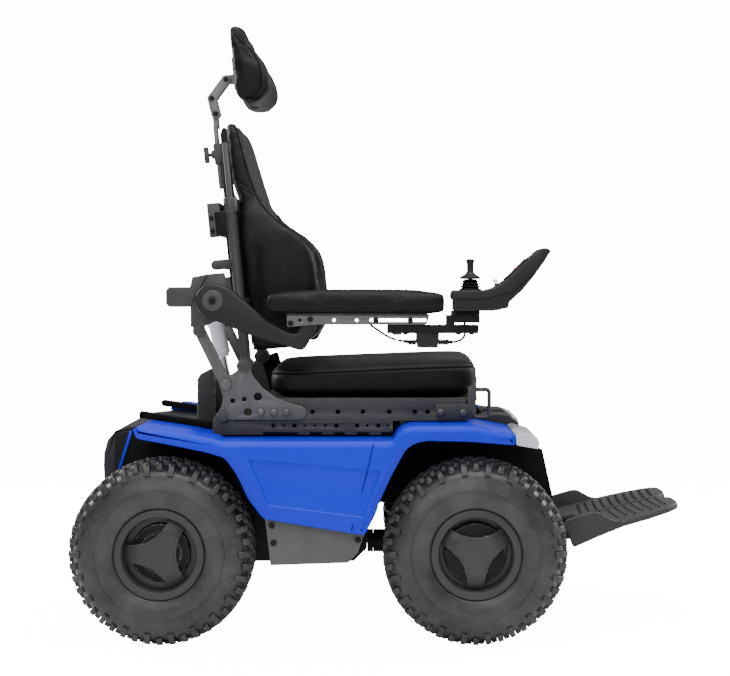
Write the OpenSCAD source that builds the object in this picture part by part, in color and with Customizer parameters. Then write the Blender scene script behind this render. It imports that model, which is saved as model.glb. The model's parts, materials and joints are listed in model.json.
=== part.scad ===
// All terrain powered wheelchair, millimetres, +X forward, +Z up, ground at Z 0.

/* [Wheels] */
// Tyre outside diameter
tyre_d = 362; // [340:1:372]
// Tyre section width
tyre_w = 145; // [125:1:150]
// Rim flange diameter
rim_d = 174; // [168:1:184]
// Gap between the tub and a tyre
tyre_gap = 10; // [7:0.5:16]
// Distance between the axles
wheelbase = 610; // [606:1:640]
// Tread lugs in one shoulder row
lug_count = 44; // [24:1:48]
// Tread lug height
lug_h = 8; // [5:0.5:10]

/* [Base] */
// Half width over the fenders
half_width = 325; // [325:1:340]
// Tub floor above the ground
tub_floor_z = 142; // [120:1:160]
// Tub rim above the ground
tub_top_z = 402; // [400:1:405]
// Tub half width
tub_half_w = 170; // [164:1:172]
// Sheet thickness of the tub
tub_wall = 4; // [2:0.5:6]
// Battery height
battery_h = 200; // [150:1:230]

/* [Seat] */
// Seat rail outer face from the centre plane
rail_out = 225; // [222:1:226]
// Rail width across the chair
rail_w = 20; // [14:1:24]
// Side plate thickness
plate_t = 6; // [4:0.5:6]
// Seat cushion length
cushion_l = 435; // [400:1:445]
// Seat cushion width
cushion_w = 430; // [400:1:440]
// Seat cushion height at the rear
cushion_h = 52; // [40:1:70]

/* [Back] */
// Lean of the back at rest
back_lean = 5.6; // [2:0.1:8]
// Back cushion half width at the wings
wing_half_w = 218; // [200:1:222]
// Post tube diameter
post_d = 22; // [18:1:26]
// Post spacing from the centre plane
post_y = 188; // [180:1:190]
// Headrest width
headrest_w = 250; // [220:1:280]

/* [Arms] */
// Arm pad length
pad_l = 348; // [320:1:350]
// Arm pad width
pad_w = 70; // [50:1:72]
// Arm pad height
pad_h = 45; // [35:1:55]

/* [Legs] */
// Foot platform tip ahead of the front axle
foot_reach = 431; // [420:1:460]
// Foot platform half width
foot_half_w = 165; // [150:1:172]
// Slope of the foot platform
foot_slope = 14; // [8:1:18]

/* [Hidden] */
$fn = 48;
rear_x = tyre_d / 2 - (tyre_d / 2 + wheelbase + foot_reach) / 2;
front_x = rear_x + wheelbase;
axle_z = tyre_d / 2;
mid_y = tub_half_w + tyre_gap + tyre_w / 2;
// Tilt pivot of the seat
tx = rear_x + 112.9;
tz = 439.9;
// Recline pivot, link pivot and arm pivots
ox = tx + 43;
oz = tz + 99.2;
lx = tx + 7.5;
lz = tz + 64.4;
px = ox - 52.2;
pz = oz + 106.2;
qx = lx - 52.2;
qz = lz + 106.2;
hx = tx - 13.2;
hz = tz + 229.5;
// Layers from the seat rail outwards
y1 = rail_out + plate_t;
y2 = y1 + 0.5;
y3 = y2 + 6;
y4 = y3 + 0.5;
y5 = y4 + 6;
y6 = y5 + 7;
arm_y = 270;
// Recline actuator pivots
bx1 = ox - 39.9;
bz1 = oz - 34.1;
bx2 = ox - 70.9;
bz2 = oz + 110.9;
act_y = -150;
act_a = atan2(bx1 - bx2, bz2 - bz1);
act_l = norm([bx1 - bx2, bz2 - bz1]);
// Legrest pivot and platform hinge
mx = front_x;
mz = 446;
fx = front_x + 192;
fz = 196;
foot_t = 13;
foot_l = (foot_reach - 192 - foot_t * sin(foot_slope)) / cos(foot_slope);
mast_a = atan2(mz - fz, fx - mx);
mast_l = norm([fx - mx, mz - fz]);
pivot_z = 155;
king_r = 8;
run = 0.05;
// Swing pivot of the joystick arm and stick pivot
sx = hx + 358;
stick_x = hx + 501.3;
stick_z = hz + 6.6;
pod_z = hz + 20.6;

// Side outline drawn out from y0 to y1, outline x is X and outline y is Z.
module prof(ya, yb) {
  translate([0, yb, 0])
    rotate([90, 0, 0])
      linear_extrude(height = yb - ya)
        children();
}

// Round bar along Y.
module ycyl(x, z, r, ya, yb) {
  translate([x, yb, z])
    rotate([90, 0, 0])
      cylinder(r = r, h = yb - ya);
}

// Round bar along Z.
module zcyl(x, y, r, za, zb) {
  translate([x, y, za])
    cylinder(r = r, h = zb - za);
}

// Round bar along X.
module xcyl(y, z, r, xa, xb) {
  translate([xa, y, z])
    rotate([0, 90, 0])
      cylinder(r = r, h = xb - xa);
}

// Block between two corners.
module box(xa, xb, ya, yb, za, zb) {
  translate([xa, ya, za])
    cube([xb - xa, yb - ya, zb - za]);
}

// Left piece and its mirror image.
module both() {
  children();
  mirror([0, 1, 0])
    children();
}

// Left piece for side 1, mirror image for side -1.
module on_side(s) {
  if (s < 0)
    mirror([0, 1, 0])
      children();
  else
    children();
}

// Flat bar with round ends in the side outline.
module bar2(xa, za, xb, zb, r) {
  a = atan2(zb - za, xb - xa);
  l = norm([xb - xa, zb - za]);
  translate([xa, za]) {
    circle(r = r);
    rotate(a)
      translate([0, -0.985 * r])
        square([l, 1.97 * r]);
  }
  translate([xb, zb])
    circle(r = r);
}

// Round cord from point to point with ball joints.
module cord(p, r) {
  for (i = [0 : len(p) - 2]) {
    d = p[i + 1] - p[i];
    l = norm(d);
    translate(p[i])
      rotate([0, acos(d[2] / l), atan2(d[1], d[0])])
        cylinder(r = r, h = l, $fn = 20);
    translate(p[i + 1])
      sphere(r = r * 1.08, $fn = 20);
  }
  translate(p[0])
    sphere(r = r * 1.08, $fn = 20);
}

// Frame of the leaning back, local x forward and local z along the posts.
module at_back() {
  translate([ox, 0, oz])
    rotate([0, -back_lean, 0])
      children();
}

// Skin over closed rings of equal point count, ends closed as fans.
module skin(rings) {
  n = len(rings[0]);
  m = len(rings);
  pts = [for (r = rings) each r];
  sides = [for (i = [0 : m - 2]) for (j = [0 : n - 1]) each [
    [i * n + j, (i + 1) * n + j, (i + 1) * n + (j + 1) % n],
    [i * n + j, (i + 1) * n + (j + 1) % n, i * n + (j + 1) % n]]];
  first = [for (j = [1 : n - 2]) [0, j, j + 1]];
  last = [for (j = [1 : n - 2]) [(m - 1) * n, (m - 1) * n + j + 1, (m - 1) * n + j]];
  polyhedron(points = pts, faces = concat(sides, first, last), convexity = 6);
}

// Skin over U rings, outer points first and inner points in return order.
module skin_u(rings) {
  n = len(rings[0]);
  h = n / 2;
  m = len(rings);
  pts = [for (r = rings) each r];
  sides = [for (i = [0 : m - 2]) for (j = [0 : n - 1]) each [
    [i * n + j, (i + 1) * n + j, (i + 1) * n + (j + 1) % n],
    [i * n + j, (i + 1) * n + (j + 1) % n, i * n + (j + 1) % n]]];
  q = (m - 1) * n;
  first = [for (j = [0 : h - 2]) each [[j, j + 1, n - 2 - j], [j, n - 2 - j, n - 1 - j]]];
  last = [for (j = [0 : h - 2]) each [
    [q + j, q + n - 2 - j, q + j + 1], [q + j, q + n - 1 - j, q + n - 2 - j]]];
  polyhedron(points = pts, faces = concat(sides, first, last), convexity = 8);
}

// Signed power for squared round outlines.
function spow(c, e) = sign(c) * pow(abs(c), e);

// End rounding of a pad, s from -1 to 1.
function endr(s, p) = pow(max(0.0004, 1 - pow(abs(s), p)), 1 / p);

// Base

tub_pts = [[rear_x - 110, tub_top_z], [rear_x - 110, 235], [rear_x - 72, tub_floor_z],
  [front_x - 238, tub_floor_z], [front_x - 212, 168], [front_x - 212, tub_top_z]];
tub_in = [[rear_x - 110 + tub_wall, tub_top_z + 1], [rear_x - 110 + tub_wall, 236],
  [rear_x - 69, tub_floor_z + tub_wall], [front_x - 240, tub_floor_z + tub_wall],
  [front_x - 212 - tub_wall, 170], [front_x - 212 - tub_wall, tub_top_z + 1]];

module chassis_tub() {
  color("#2a2b2d") {
    difference() {
      prof(-tub_half_w, tub_half_w)
        polygon(tub_pts);
      prof(-tub_half_w + tub_wall, tub_half_w - tub_wall)
        polygon(tub_in);
    }
    box(front_x - 213, front_x + 66, -45, 45, 255, 298);
    box(front_x + 52, front_x + 66, -32, 32, 130, 256);
    box(front_x + 30, front_x + 66, -107.7, 107.7, 298, 304);
    xcyl(0, pivot_z, 15, front_x - 213, front_x + 60);
    xcyl(0, pivot_z, 24, front_x - 213, front_x - 200.4);
  }
}

// Battery length from the wheelbase, and half width from the tub
battery_l = (wheelbase - 258) / 2;
battery_w = tub_half_w - 30;

module batteries() {
  color("#3b3d42")
    for (x = [rear_x - 66, rear_x - 56 + battery_l])
      difference() {
        union() {
          box(x, x + battery_l, -battery_w, battery_w, tub_floor_z + tub_wall,
            tub_floor_z + tub_wall + battery_h);
          for (y = [-battery_w + 40, battery_w - 40])
            zcyl(x + battery_l / 2, y, 9, tub_floor_z + tub_wall + battery_h - 1,
              tub_floor_z + tub_wall + battery_h + 12);
        }
        box(x + 20, x + battery_l - 20, -battery_w + 80, battery_w - 80,
          tub_floor_z + battery_h - 6, tub_floor_z + battery_h + 30);
      }
}

// Upper and lower edges of the panel and fenders
top_rear = [[rear_x - 49, 425], [rear_x - 33, 428], [rear_x + 35, 418], [rear_x + 105, 405],
  [rear_x + 118, 399.5]];
top_front = [[front_x - 161, 399.5], [front_x - 148, 420], [front_x - 128, 429],
  [front_x - 9, 429], [front_x + 7, 426], [front_x + 75, 413]];
low_front = [[front_x + 77, 392], [front_x - 9, 399], [front_x - 97, 401], [front_x - 121, 395],
  [front_x - 137, 382], [front_x - 161, 338], [front_x - 185, 287], [front_x - 193, 260],
  [front_x - 210, 229], [front_x - 215, 219.5]];
low_rear = [[rear_x + 201, 251], [rear_x + 172, 289], [rear_x + 151, 334], [rear_x + 127, 368],
  [rear_x + 90, 379], [rear_x + 17, 394], [rear_x - 44, 405]];

function rev(p) = [for (i = [len(p) - 1 : -1 : 0]) p[i]];
function drop(p, d) = [for (q = p) [q[0], q[1] - d]];

module side_panel(s) {
  on_side(s) {
    difference() {
      prof(half_width - 16, half_width)
        polygon(concat(top_rear, top_front, low_front, low_rear));
      translate([0, half_width - 11, 366])
        rotate([3, 0, 0])
          prof(0, 24)
            polygon([[rear_x + 172, 0], [front_x - 183, -22], [front_x - 217, -112],
              [rear_x + 211, -89]]);
      translate([0, half_width - 6, 277])
        rotate([14, 0, 0])
          prof(0, 24)
            polygon([[rear_x + 210, 1], [front_x - 217, -22], [front_x - 214, -50],
              [rear_x + 203, -19]]);
    }
    difference() {
      prof(tub_half_w, half_width - 6)
        polygon(concat(top_rear, rev(drop(top_rear, 8))));
      box(tx - 21, rear_x + 130, tub_half_w - 1, rail_out + 1, tub_top_z, tub_top_z + 40);
    }
    prof(112, half_width - 6)
      polygon(concat(top_front, rev(drop(top_front, 8))));
    box(rear_x + 117, front_x - 160, tub_half_w, half_width - 6, 391.5, 399.5);
  }
}

module side_panel_right() {
  color("#1f4fe0")
    side_panel(-1);
}

module side_panel_left() {
  color("#1f4fe0")
    side_panel(1);
}

module rocker_plates() {
  color("#6f7276")
    both() {
      prof(284, 290)
        polygon([[rear_x + 201, 250], [front_x - 215, 218.5], [front_x - 228, 181],
          [front_x - 247, 161], [rear_x + 212, 156], [rear_x + 209, 190]]);
      for (x = [rear_x + 225, front_x - 262])
        box(x, x + 18, tub_half_w, 285, 192, 214);
    }
}

module wheel_arch_liners() {
  color("#161718")
    both() {
      prof(108, 112)
        polygon([[front_x - 212, 252], [front_x - 212, 391], [front_x - 161, 391.5],
          [front_x - 148, 412], [front_x - 128, 421], [front_x - 9, 421], [front_x + 7, 418],
          [front_x + 75, 405], [front_x + 149, 361], [front_x + 171, 262], [front_x + 150, 252]]);
      prof(tub_half_w, tub_half_w + 4)
        polygon([[rear_x - 101, 330], [rear_x - 78, 405], [rear_x - 49, 417], [rear_x - 33, 420],
          [rear_x + 35, 410], [rear_x + 105, 397], [rear_x + 118, 391.5], [rear_x + 150, 391.5],
          [rear_x + 190, 262], [rear_x - 95, 262]]);
    }
}

function cover_z(x) = 418 - (x - rear_x + 47) * 10 / 132;

module rear_cover() {
  color("#3a3c40")
    difference() {
      prof(-tub_half_w + 2, tub_half_w - 2)
        polygon([[rear_x - 133, 300], [rear_x - 135, 335], [rear_x - 134, 360],
          [rear_x - 127, 386], [rear_x - 112, 404], [rear_x - 88, 414], [rear_x - 47, 418],
          [rear_x + 85, 408], [rear_x + 85, tub_top_z], [rear_x - 110, tub_top_z],
          [rear_x - 110, 300]]);
      prof(-tub_half_w + 6, tub_half_w - 6)
        polygon([[rear_x - 129, 304], [rear_x - 131, 335], [rear_x - 130, 359],
          [rear_x - 123, 384], [rear_x - 115, 394], [rear_x - 115, 304]]);
      prof(-tub_half_w + 6, tub_half_w - 6)
        polygon([[rear_x - 100, tub_top_z - 1], [rear_x - 100, 405], [rear_x - 87, 410],
          [rear_x - 47, 413.5], [rear_x + 81, 404.5], [rear_x + 81, tub_top_z - 1]]);
    }
}

module front_hood() {
  color("#4a4c50")
    both()
      difference() {
        prof(44, 108)
          polygon([[front_x - 40, 304], [front_x - 40, 400], [front_x, 424], [front_x + 40, 434],
            [front_x + 78, 432], [front_x + 100, 416], [front_x + 115, 386], [front_x + 118, 340],
            [front_x + 66, 304]]);
        prof(48, 104)
          polygon([[front_x - 36, 303], [front_x - 36, 397], [front_x, 419], [front_x + 40, 429],
            [front_x + 76, 427], [front_x + 96, 413], [front_x + 110, 385], [front_x + 113, 344],
            [front_x + 62, 303]]);
      }
}

module headlamps() {
  color("#c9ccd0")
    both()
      prof(112, half_width - 3)
        polygon([[front_x + 75, 413], [front_x + 86, 416], [front_x + 117, 407],
          [front_x + 121, 397], [front_x + 119, 385], [front_x + 77.1, 392.2], [front_x + 75.9, 405]]);
}

module base_frame() {
  color("#74777b") {
    difference() {
      union() {
        box(tx - 20, front_x - 160, -rail_out + rail_w, rail_out - rail_w, tub_top_z, 407);
        both() {
          box(tx - 20, front_x - 160, rail_out - rail_w, rail_out, 402.5, 430.5);
          box(front_x - 161, front_x - 9, rail_out - rail_w, rail_out - 8, 429.5, 430.5);
          prof(rail_out - rail_w, rail_out - 0.3)
            polygon([[tx - 20, 430], [tx - 12, 446], [tx + 12, 446], [tx + 20, 430]]);
          ycyl(tx, tz, 12, rail_out - rail_w, rail_out - 0.3);
        }
      }
      for (x = [100.6, 142.2, 225.2, 266.8, 308.6])
        ycyl(tx + x, 420.9, 4.25, -rail_out - 1, rail_out + 1);
      for (x = [121.4, 162.6, 183, 203.6, 286.6, 328.2])
        ycyl(tx + x, 420.9, 2.5, -rail_out - 1, rail_out + 1);
      for (x = [[80, 149], [173, 197], [221, 242], [266, 290], [314, 336]])
        both()
          box(tx + x[0], tx + x[1], rail_out - 12, rail_out + 1, 402, 408);
    }
    both() {
      ycyl(tx, tz, 8, rail_out - 1, y1 + 0.3);
      ycyl(tx, tz, 11, y1 + 0.3, y1 + 5);
    }
  }
}

module rear_tie_downs() {
  color("#74777b")
    both()
      difference() {
        union() {
          prof(tub_half_w - 32, tub_half_w - 8)
            polygon([[rear_x - 63, 436], [rear_x - 63, 442], [rear_x + 84, 420.5],
              [rear_x + 84, 414]]);
          prof(tub_half_w - 30, tub_half_w - 10)
            polygon([[rear_x - 10, cover_z(rear_x - 10)], [rear_x - 10, 429],
              [rear_x + 80, 416], [rear_x + 80, cover_z(rear_x + 80)]]);
        }
        box(rear_x - 55, rear_x - 25, tub_half_w - 26, tub_half_w - 14, 420, 450);
      }
}

module power_module() {
  color("#232427")
    prof(-100, 100)
      polygon([[rear_x + 46, cover_z(rear_x + 46)], [rear_x + 46, 505], [rear_x + 52, 516],
        [rear_x + 76, 528], [rear_x + 84, 526], [rear_x + 84, cover_z(rear_x + 84)]]);
}

module rear_motors() {
  color("#55585c")
    both() {
      ycyl(rear_x, axle_z, 62, tub_half_w, tub_half_w + 9);
      ycyl(rear_x, axle_z, 56, tub_half_w + 8, mid_y + 40);
      ycyl(rear_x, axle_z, 40, mid_y + 39, mid_y + 45.5);
      ycyl(rear_x, axle_z, 10, mid_y + 45, mid_y + 57);
    }
}

module chassis_bolts() {
  color("#2f3033")
    both()
      for (p = [[rear_x + 215, 234], [rear_x + 218, 200], [front_x - 228, 206]])
        ycyl(p[0], p[1], 6.5, 290, 294, $fn = 6);
}

module front_axle_beam() {
  color("#3c3e42")
    difference() {
      union() {
        xcyl(0, pivot_z, 24, front_x - 200, front_x + 46);
        for (s = [-1, 1])
          on_side(s) {
            ycyl(front_x, axle_z, 18, 0, mid_y - 32);
            box(front_x - 14, front_x + 14, mid_y - 40, mid_y, axle_z - 14, axle_z + 14);
            zcyl(front_x, mid_y, 18, axle_z - 20, axle_z + 20);
          }
      }
      xcyl(0, pivot_z, 15 + run, front_x - 230, front_x + 80);
      for (s = [-1, 1])
        zcyl(front_x, s * mid_y, king_r, axle_z - 30, axle_z + 30);
    }
}

module kingpins() {
  color("#a7abb0")
    for (s = [-1, 1])
      zcyl(front_x, s * mid_y, king_r, axle_z - 34, axle_z + 40);
}

module front_drive(s) {
  on_side(s)
    difference() {
      union() {
        for (z = [20.3, -32.3])
          prof_z(axle_z + z, 12);
        box(front_x - 30, front_x + 30, mid_y + 20, mid_y + 30, axle_z - 32.3, axle_z + 32.3);
        ycyl(front_x, axle_z, 58, mid_y + 29, mid_y + 45.5);
        ycyl(front_x, axle_z, 10, mid_y + 45, mid_y + 57);
        zcyl(front_x, mid_y, 17, axle_z + 32, axle_z + 54);
      }
      zcyl(front_x, mid_y, king_r + run, axle_z - 40, axle_z + 42);
    }
}

// Ear of the steering fork.
module prof_z(z, t) {
  translate([front_x, mid_y, z]) {
    cylinder(r = 18, h = t);
    translate([-18, 0, 0])
      cube([36, 28, t]);
  }
}

module front_drive_right() {
  color("#55585c")
    front_drive(-1);
}

module front_drive_left() {
  color("#55585c")
    front_drive(1);
}

// Wheels

tr = tyre_d / 2;
tw = tyre_w / 2;
rr = rim_d / 2;
bead = rr - 10;
crown = tr - lug_h;
tyre_pts = [[bead + 0.3, tw - 15.2], [rr + 0.5, tw - 10.6], [rr + 10, tw - 3], [rr + 28, tw],
  [rr + 48, tw - 2], [crown - 18, tw - 8], [crown - 8, tw - 18], [crown - 2, tw - 38],
  [crown, 0]];
tyre_in = [[crown - 12, 0], [crown - 14, tw - 40], [crown - 20, tw - 25], [rr + 40, tw - 14],
  [rr + 22, tw - 11], [bead + 8, tw - 20], [bead + 0.3, tw - 24]];
function neg(p) = [for (q = p) [q[0], -q[1]]];

module tyre(x, s) {
  on_side(s)
    translate([x, mid_y, axle_z]) {
      rotate([90, 0, 0])
        rotate_extrude($fn = 96)
          polygon(concat(tyre_pts, rev(neg([for (i = [0 : 7]) tyre_pts[i]])),
            neg(rev(tyre_in)), [for (i = [1 : 6]) tyre_in[i]]));
      for (i = [0 : lug_count - 1])
        for (k = [-1, 1])
          rotate([0, (i + k / 4) * 360 / lug_count, 0])
            translate([crown - 16, k > 0 ? 8 : -tw + 12, -6.5])
              cube([sqrt(tr * tr - 43) - crown + 16, tw - 20, 13]);
    }
}

module tyre_rear_right() {
  color("#1d1d1e")
    tyre(rear_x, -1);
}

module tyre_rear_left() {
  color("#1d1d1e")
    tyre(rear_x, 1);
}

module tyre_front_right() {
  color("#1d1d1e")
    tyre(front_x, -1);
}

module tyre_front_left() {
  color("#1d1d1e")
    tyre(front_x, 1);
}

module rim(x, s, a) {
  on_side(s)
    translate([x, mid_y, axle_z])
      rotate([0, a, 0])
        difference() {
          union() {
            rotate([90, 0, 0])
              rotate_extrude($fn = 96)
                polygon([[bead - 7, -tw + 6], [rr, -tw + 6], [rr, -tw + 10], [bead, -tw + 14.4],
                  [bead, tw - 14.4], [rr, tw - 10], [rr, tw - 6], [rr - 14, tw - 6],
                  [bead - 7, tw - 12]]);
            prof(tw - 24, tw - 12)
              intersection() {
                circle(r = bead - 4);
                difference() {
                  circle(r = bead);
                  for (i = [0 : 2])
                    rotate(60 + i * 120)
                      translate([118, 0])
                        circle(r = 81);
                }
              }
            ycyl(0, 0, 30, tw - 26.5, tw - 12);
          }
          ycyl(0, 0, 10 + run, tw - 28, tw - 15.2);
          for (i = [0 : 2])
            rotate([0, i * 120, 0])
              ycyl(24, 0, 4, tw - 16, tw);
        }
}

module rim_rear_right() {
  color("#53565a")
    rim(rear_x, -1, 180);
}

module rim_rear_left() {
  color("#53565a")
    rim(rear_x, 1, 180);
}

module rim_front_right() {
  color("#53565a")
    rim(front_x, -1, 90);
}

module rim_front_left() {
  color("#53565a")
    rim(front_x, 1, 90);
}

// Seat

module seat_frame() {
  color("#74777b") {
    difference() {
      both()
        box(tx + 67, front_x - 15, rail_out - rail_w, rail_out, 430.8, 471);
      for (x = [178, 228.4, 278, 330.2, 381, 406.5])
        ycyl(tx + x, 448.4, 4.5, -rail_out - 1, rail_out + 1);
    }
    box(tx + 80, front_x + 8, -rail_out + 8, rail_out - 8, 470.5, 474.5);
    for (x = [tx + 78, front_x - 32])
      ycyl(x, 450, 15, -rail_out + rail_w - 1, rail_out - rail_w + 1);
    both()
      difference() {
        prof(20, 27)
          union() {
            translate([mx, mz])
              circle(r = 14);
            polygon([[front_x - 40, 436], [mx, mz - 14], [mx, mz + 14], [front_x - 40, 466]]);
          }
      }
    ycyl(mx, mz, 8, -26, 26);
    for (y = [act_y - 20, act_y + 14])
      prof(y, y + 6)
        union() {
          translate([bx1, bz1])
            circle(r = 12);
          polygon([[tx + 70, 438], [bx1 - 9, bz1 - 8], [bx1 + 8, bz1 + 9], [tx + 86, 462]]);
        }
    ycyl(bx1, bz1, 5, act_y - 19, act_y + 19);
  }
}

module side_plates() {
  color("#85888c")
    both() {
      difference() {
        prof(rail_out, y1)
          difference() {
            union() {
              translate([ox, oz])
                circle(r = 13);
              translate([lx, lz])
                circle(r = 13.5);
              translate([tx, tz])
                circle(r = 12);
              translate([tx + 152, tz + 7])
                circle(r = 14);
              polygon([[tx, tz - 7], [tx + 152, tz - 7], [tx + 155.3, tz + 20.7],
                [tx + 132.5, tz + 26.3], [tx + 107.7, tz + 36.2], [tx + 80, tz + 56],
                [tx + 61.8, tz + 78.6], [tx + 54.5, tz + 93.7], [ox, oz + 4],
                [tx + 32.3, tz + 93.7], [tx + 10.1, tz + 77.5], [tx - 4.4, tz + 58],
                [tx + 1.2, tz + 39.2], [tx - 2.2, tz + 19.6], [tx - 10.3, tz + 5]]);
            }
            translate([ox, oz])
              circle(r = 8 + run);
            translate([tx, tz])
              circle(r = 8 + run);
            for (p = [[70, 39.2, 8], [20, 31, 4.7], [43, 34.2, 4.7], [50.3, 8.1, 8]])
              translate([tx + p[0], tz + p[1]])
                circle(r = p[2]);
          }
      }
      ycyl(lx, lz, 6, y1 - 1, y3 + 0.3);
      ycyl(lx, lz, 10.5, y3 + 0.3, y3 + 4.5);
    }
}

// Seat cushion: squared round section along X with crown, drawn-in sides and leg channels.
cush_m = 17;
cush_n = 36;
cush_rings = [for (i = [0 : cush_m])
  let (s = -sin(90 - i * 180 / cush_m) * 0.9995,
    x = tx + 81 + cushion_l * (0.5 + s / 2),
    e = endr(s, 7),
    w = (cushion_w / 2 - 4 * (1 - s * s)) * (0.9 + 0.1 * e) * min(1, 0.35 + 0.65 * e),
    h = cushion_h + 17 * (s + 1) / 2)
  [for (j = [0 : cush_n - 1])
    let (a = j * 360 / cush_n,
      y = w * spow(cos(a), 0.3),
      u = abs(y) / (cushion_w / 2),
      top = h + 16 * (1 - u * u) - 5 * (s > 0 ? s : 0) * pow(cos(180 * (u - 0.5)), 8),
      z = sin(a) > 0 ? top * (0.5 + 0.5 * e * spow(sin(a), 0.35))
        : h * (0.5 - 0.5 * e * spow(-sin(a), 0.35)))
    [x, y, 475 + z]]];

module seat_cushion() {
  color("#2c2d30")
    skin(cush_rings);
}

module front_tie_downs() {
  color("#85888c")
    both() {
      box(front_x - 74, front_x + 3, rail_out, rail_out + 5, 434, 464);
      box(front_x - 11, front_x + 5, rail_out, rail_out + 5, 434, 500);
      translate([0, rail_out + 2.5, 0]) {
        for (z = [438, 493])
          xcyl(0, z, 4, front_x + 4, front_x + 24);
        zcyl(front_x + 31, 0, 4, 445, 486);
        for (q = [[445, -90], [486, 0]])
          translate([front_x + 24, 0, q[0]])
            rotate([90, 0, 0])
              rotate([0, 0, q[1]])
                rotate_extrude(angle = 90)
                  translate([7, 0])
                    circle(r = 4, $fn = 24);
      }
    }
}

module seat_bolts() {
  color("#c2c5c9")
    both() {
      for (x = [76, 101.8, 126.8])
        ycyl(tx + x, tz + 8.1, 8, y1, y1 + 5, $fn = 6);
      for (x = [front_x - 64.5, front_x - 20])
        ycyl(x, 447.6, 8, rail_out + 5, rail_out + 10, $fn = 6);
    }
}

module legrest_mast() {
  color("#5b5e62")
    translate([mx, 0, mz])
      rotate([0, mast_a, 0])
        difference() {
          union() {
            ycyl(0, 0, 16, -19.7, 19.7);
            box(8, mast_l - 24, -19.7, 19.7, -15, 15);
            both() {
              box(mast_l - 50, mast_l, 14, 19.7, -12, 12);
              ycyl(mast_l, 0, 12, 14, 19.7);
            }
          }
          ycyl(0, 0, 8 + run, -30, 30);
          ycyl(mast_l, 0, 6 + run, -30, 30);
        }
}

module foot_platform() {
  hw = foot_half_w;
  color("#4b4e52")
    translate([fx, 0, fz])
      rotate([0, -foot_slope, 0]) {
        translate([0, 0, -foot_t])
          difference() {
            linear_extrude(height = foot_t)
              polygon([[22, -27], [-4, -27], [-4, 14 - hw], [10, 5 - hw], [40, -hw],
                [foot_l - 118, -hw], [foot_l - 72, 8 - hw], [foot_l - 28, 26 - hw],
                [foot_l - 6, 46 - hw], [foot_l, 66 - hw], [foot_l, -44], [foot_l - 22, 0],
                [foot_l, 44], [foot_l, hw - 66], [foot_l - 6, hw - 46], [foot_l - 28, hw - 26],
                [foot_l - 72, hw - 8], [foot_l - 118, hw], [40, hw], [10, hw - 5],
                [-4, hw - 14], [-4, 27], [22, 27]]);
            both()
              for (i = [0 : 3])
                for (j = [0 : 3])
                  translate([70 + i * 38, 30 + j * 28, foot_t - 1.2])
                    cylinder(r = 3, h = 3, $fn = 20);
          }
        both()
          prof(hw - 20, hw - 14)
            polygon([[-3, -2], [-3, 28], [37, 30], [66, 30.5], [76, 27], [85, 16.4], [95, 6],
              [112, 1], [112, -2]]);
        box(44, foot_l - 26, -4, 4, -1, 2);
        box(10, 40, -13.7, 13.7, -foot_t, 0);
        ycyl(0, 0, 12, -13.7, 13.7);
        box(0, 24, -13.7, 13.7, -foot_t, 6);
        ycyl(0, 0, 6, -22, 22);
        both()
          ycyl(0, 0, 9, 20, 23);
      }
}

// Back

module back_frame() {
  color("#6c6f73")
    at_back() {
      both() {
        translate([0, post_y, 0]) {
          zcyl(0, 0, post_d / 2, -4, 312);
          zcyl(0, 0, 14, 308, 338);
          zcyl(0, 0, 5.5, 330, 449);
        }
        ycyl(0, 0, 16, post_y - 11, rail_out - 0.3);
        ycyl(0, 0, 8, rail_out - 1, y1 + 0.3);
        ycyl(0, 0, 12, y1 + 0.3, y1 + 5);
        prof(post_y - 4, post_y + 22)
          bar2(0, 110.8, -41.6, 110.8, 13);
        ycyl(-41.6, 110.8, 7, post_y + 20, y5);
        box(-47, -9, post_y - 12, post_y + 8, 262, 312);
      }
      ycyl(0, 117.3, 11, -post_y, post_y);
      box(-47, -22, -post_y - 8, post_y + 8, 270, 330);
      box(-23, 13, -60, 60, 284, 316);
      box(-11, 13, -60, 60, 108, 128);
      ycyl(-41, 206, 7, -post_y, post_y);
      both()
        prof(post_y - 10, post_y)
          bar2(0, 206, -41, 206, 10);
      for (y = [act_y - 22, act_y + 16])
        prof(y, y + 6)
          bar2(0, 117.3, -59.7, 117.3, 11);
      ycyl(-59.7, 117.3, 6, act_y - 20, act_y + 20);
      difference() {
        union() {
          box(-41, -24, -22, 22, 424, 467);
          xcyl(0, 446, 9, -48, -40);
          box(-29.6, -24, -14, 14, 320, 430);
        }
        box(-38.3, -29.7, -15.3, 15.3, 360, 490);
        translate([-60, 0, 446])
          rotate([0, 90, 0])
            cylinder(r = 4 + run, h = 18);
      }
    }
}

module back_shell() {
  color("#18191a")
    at_back()
      difference() {
        box(13, 17, -wing_half_w + 50, wing_half_w - 50, 40, 330);
        for (z = [180, 250])
          translate([10, 0, z])
            rotate([0, 90, 0])
              cylinder(r = 14, h = 10);
      }
}

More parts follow.
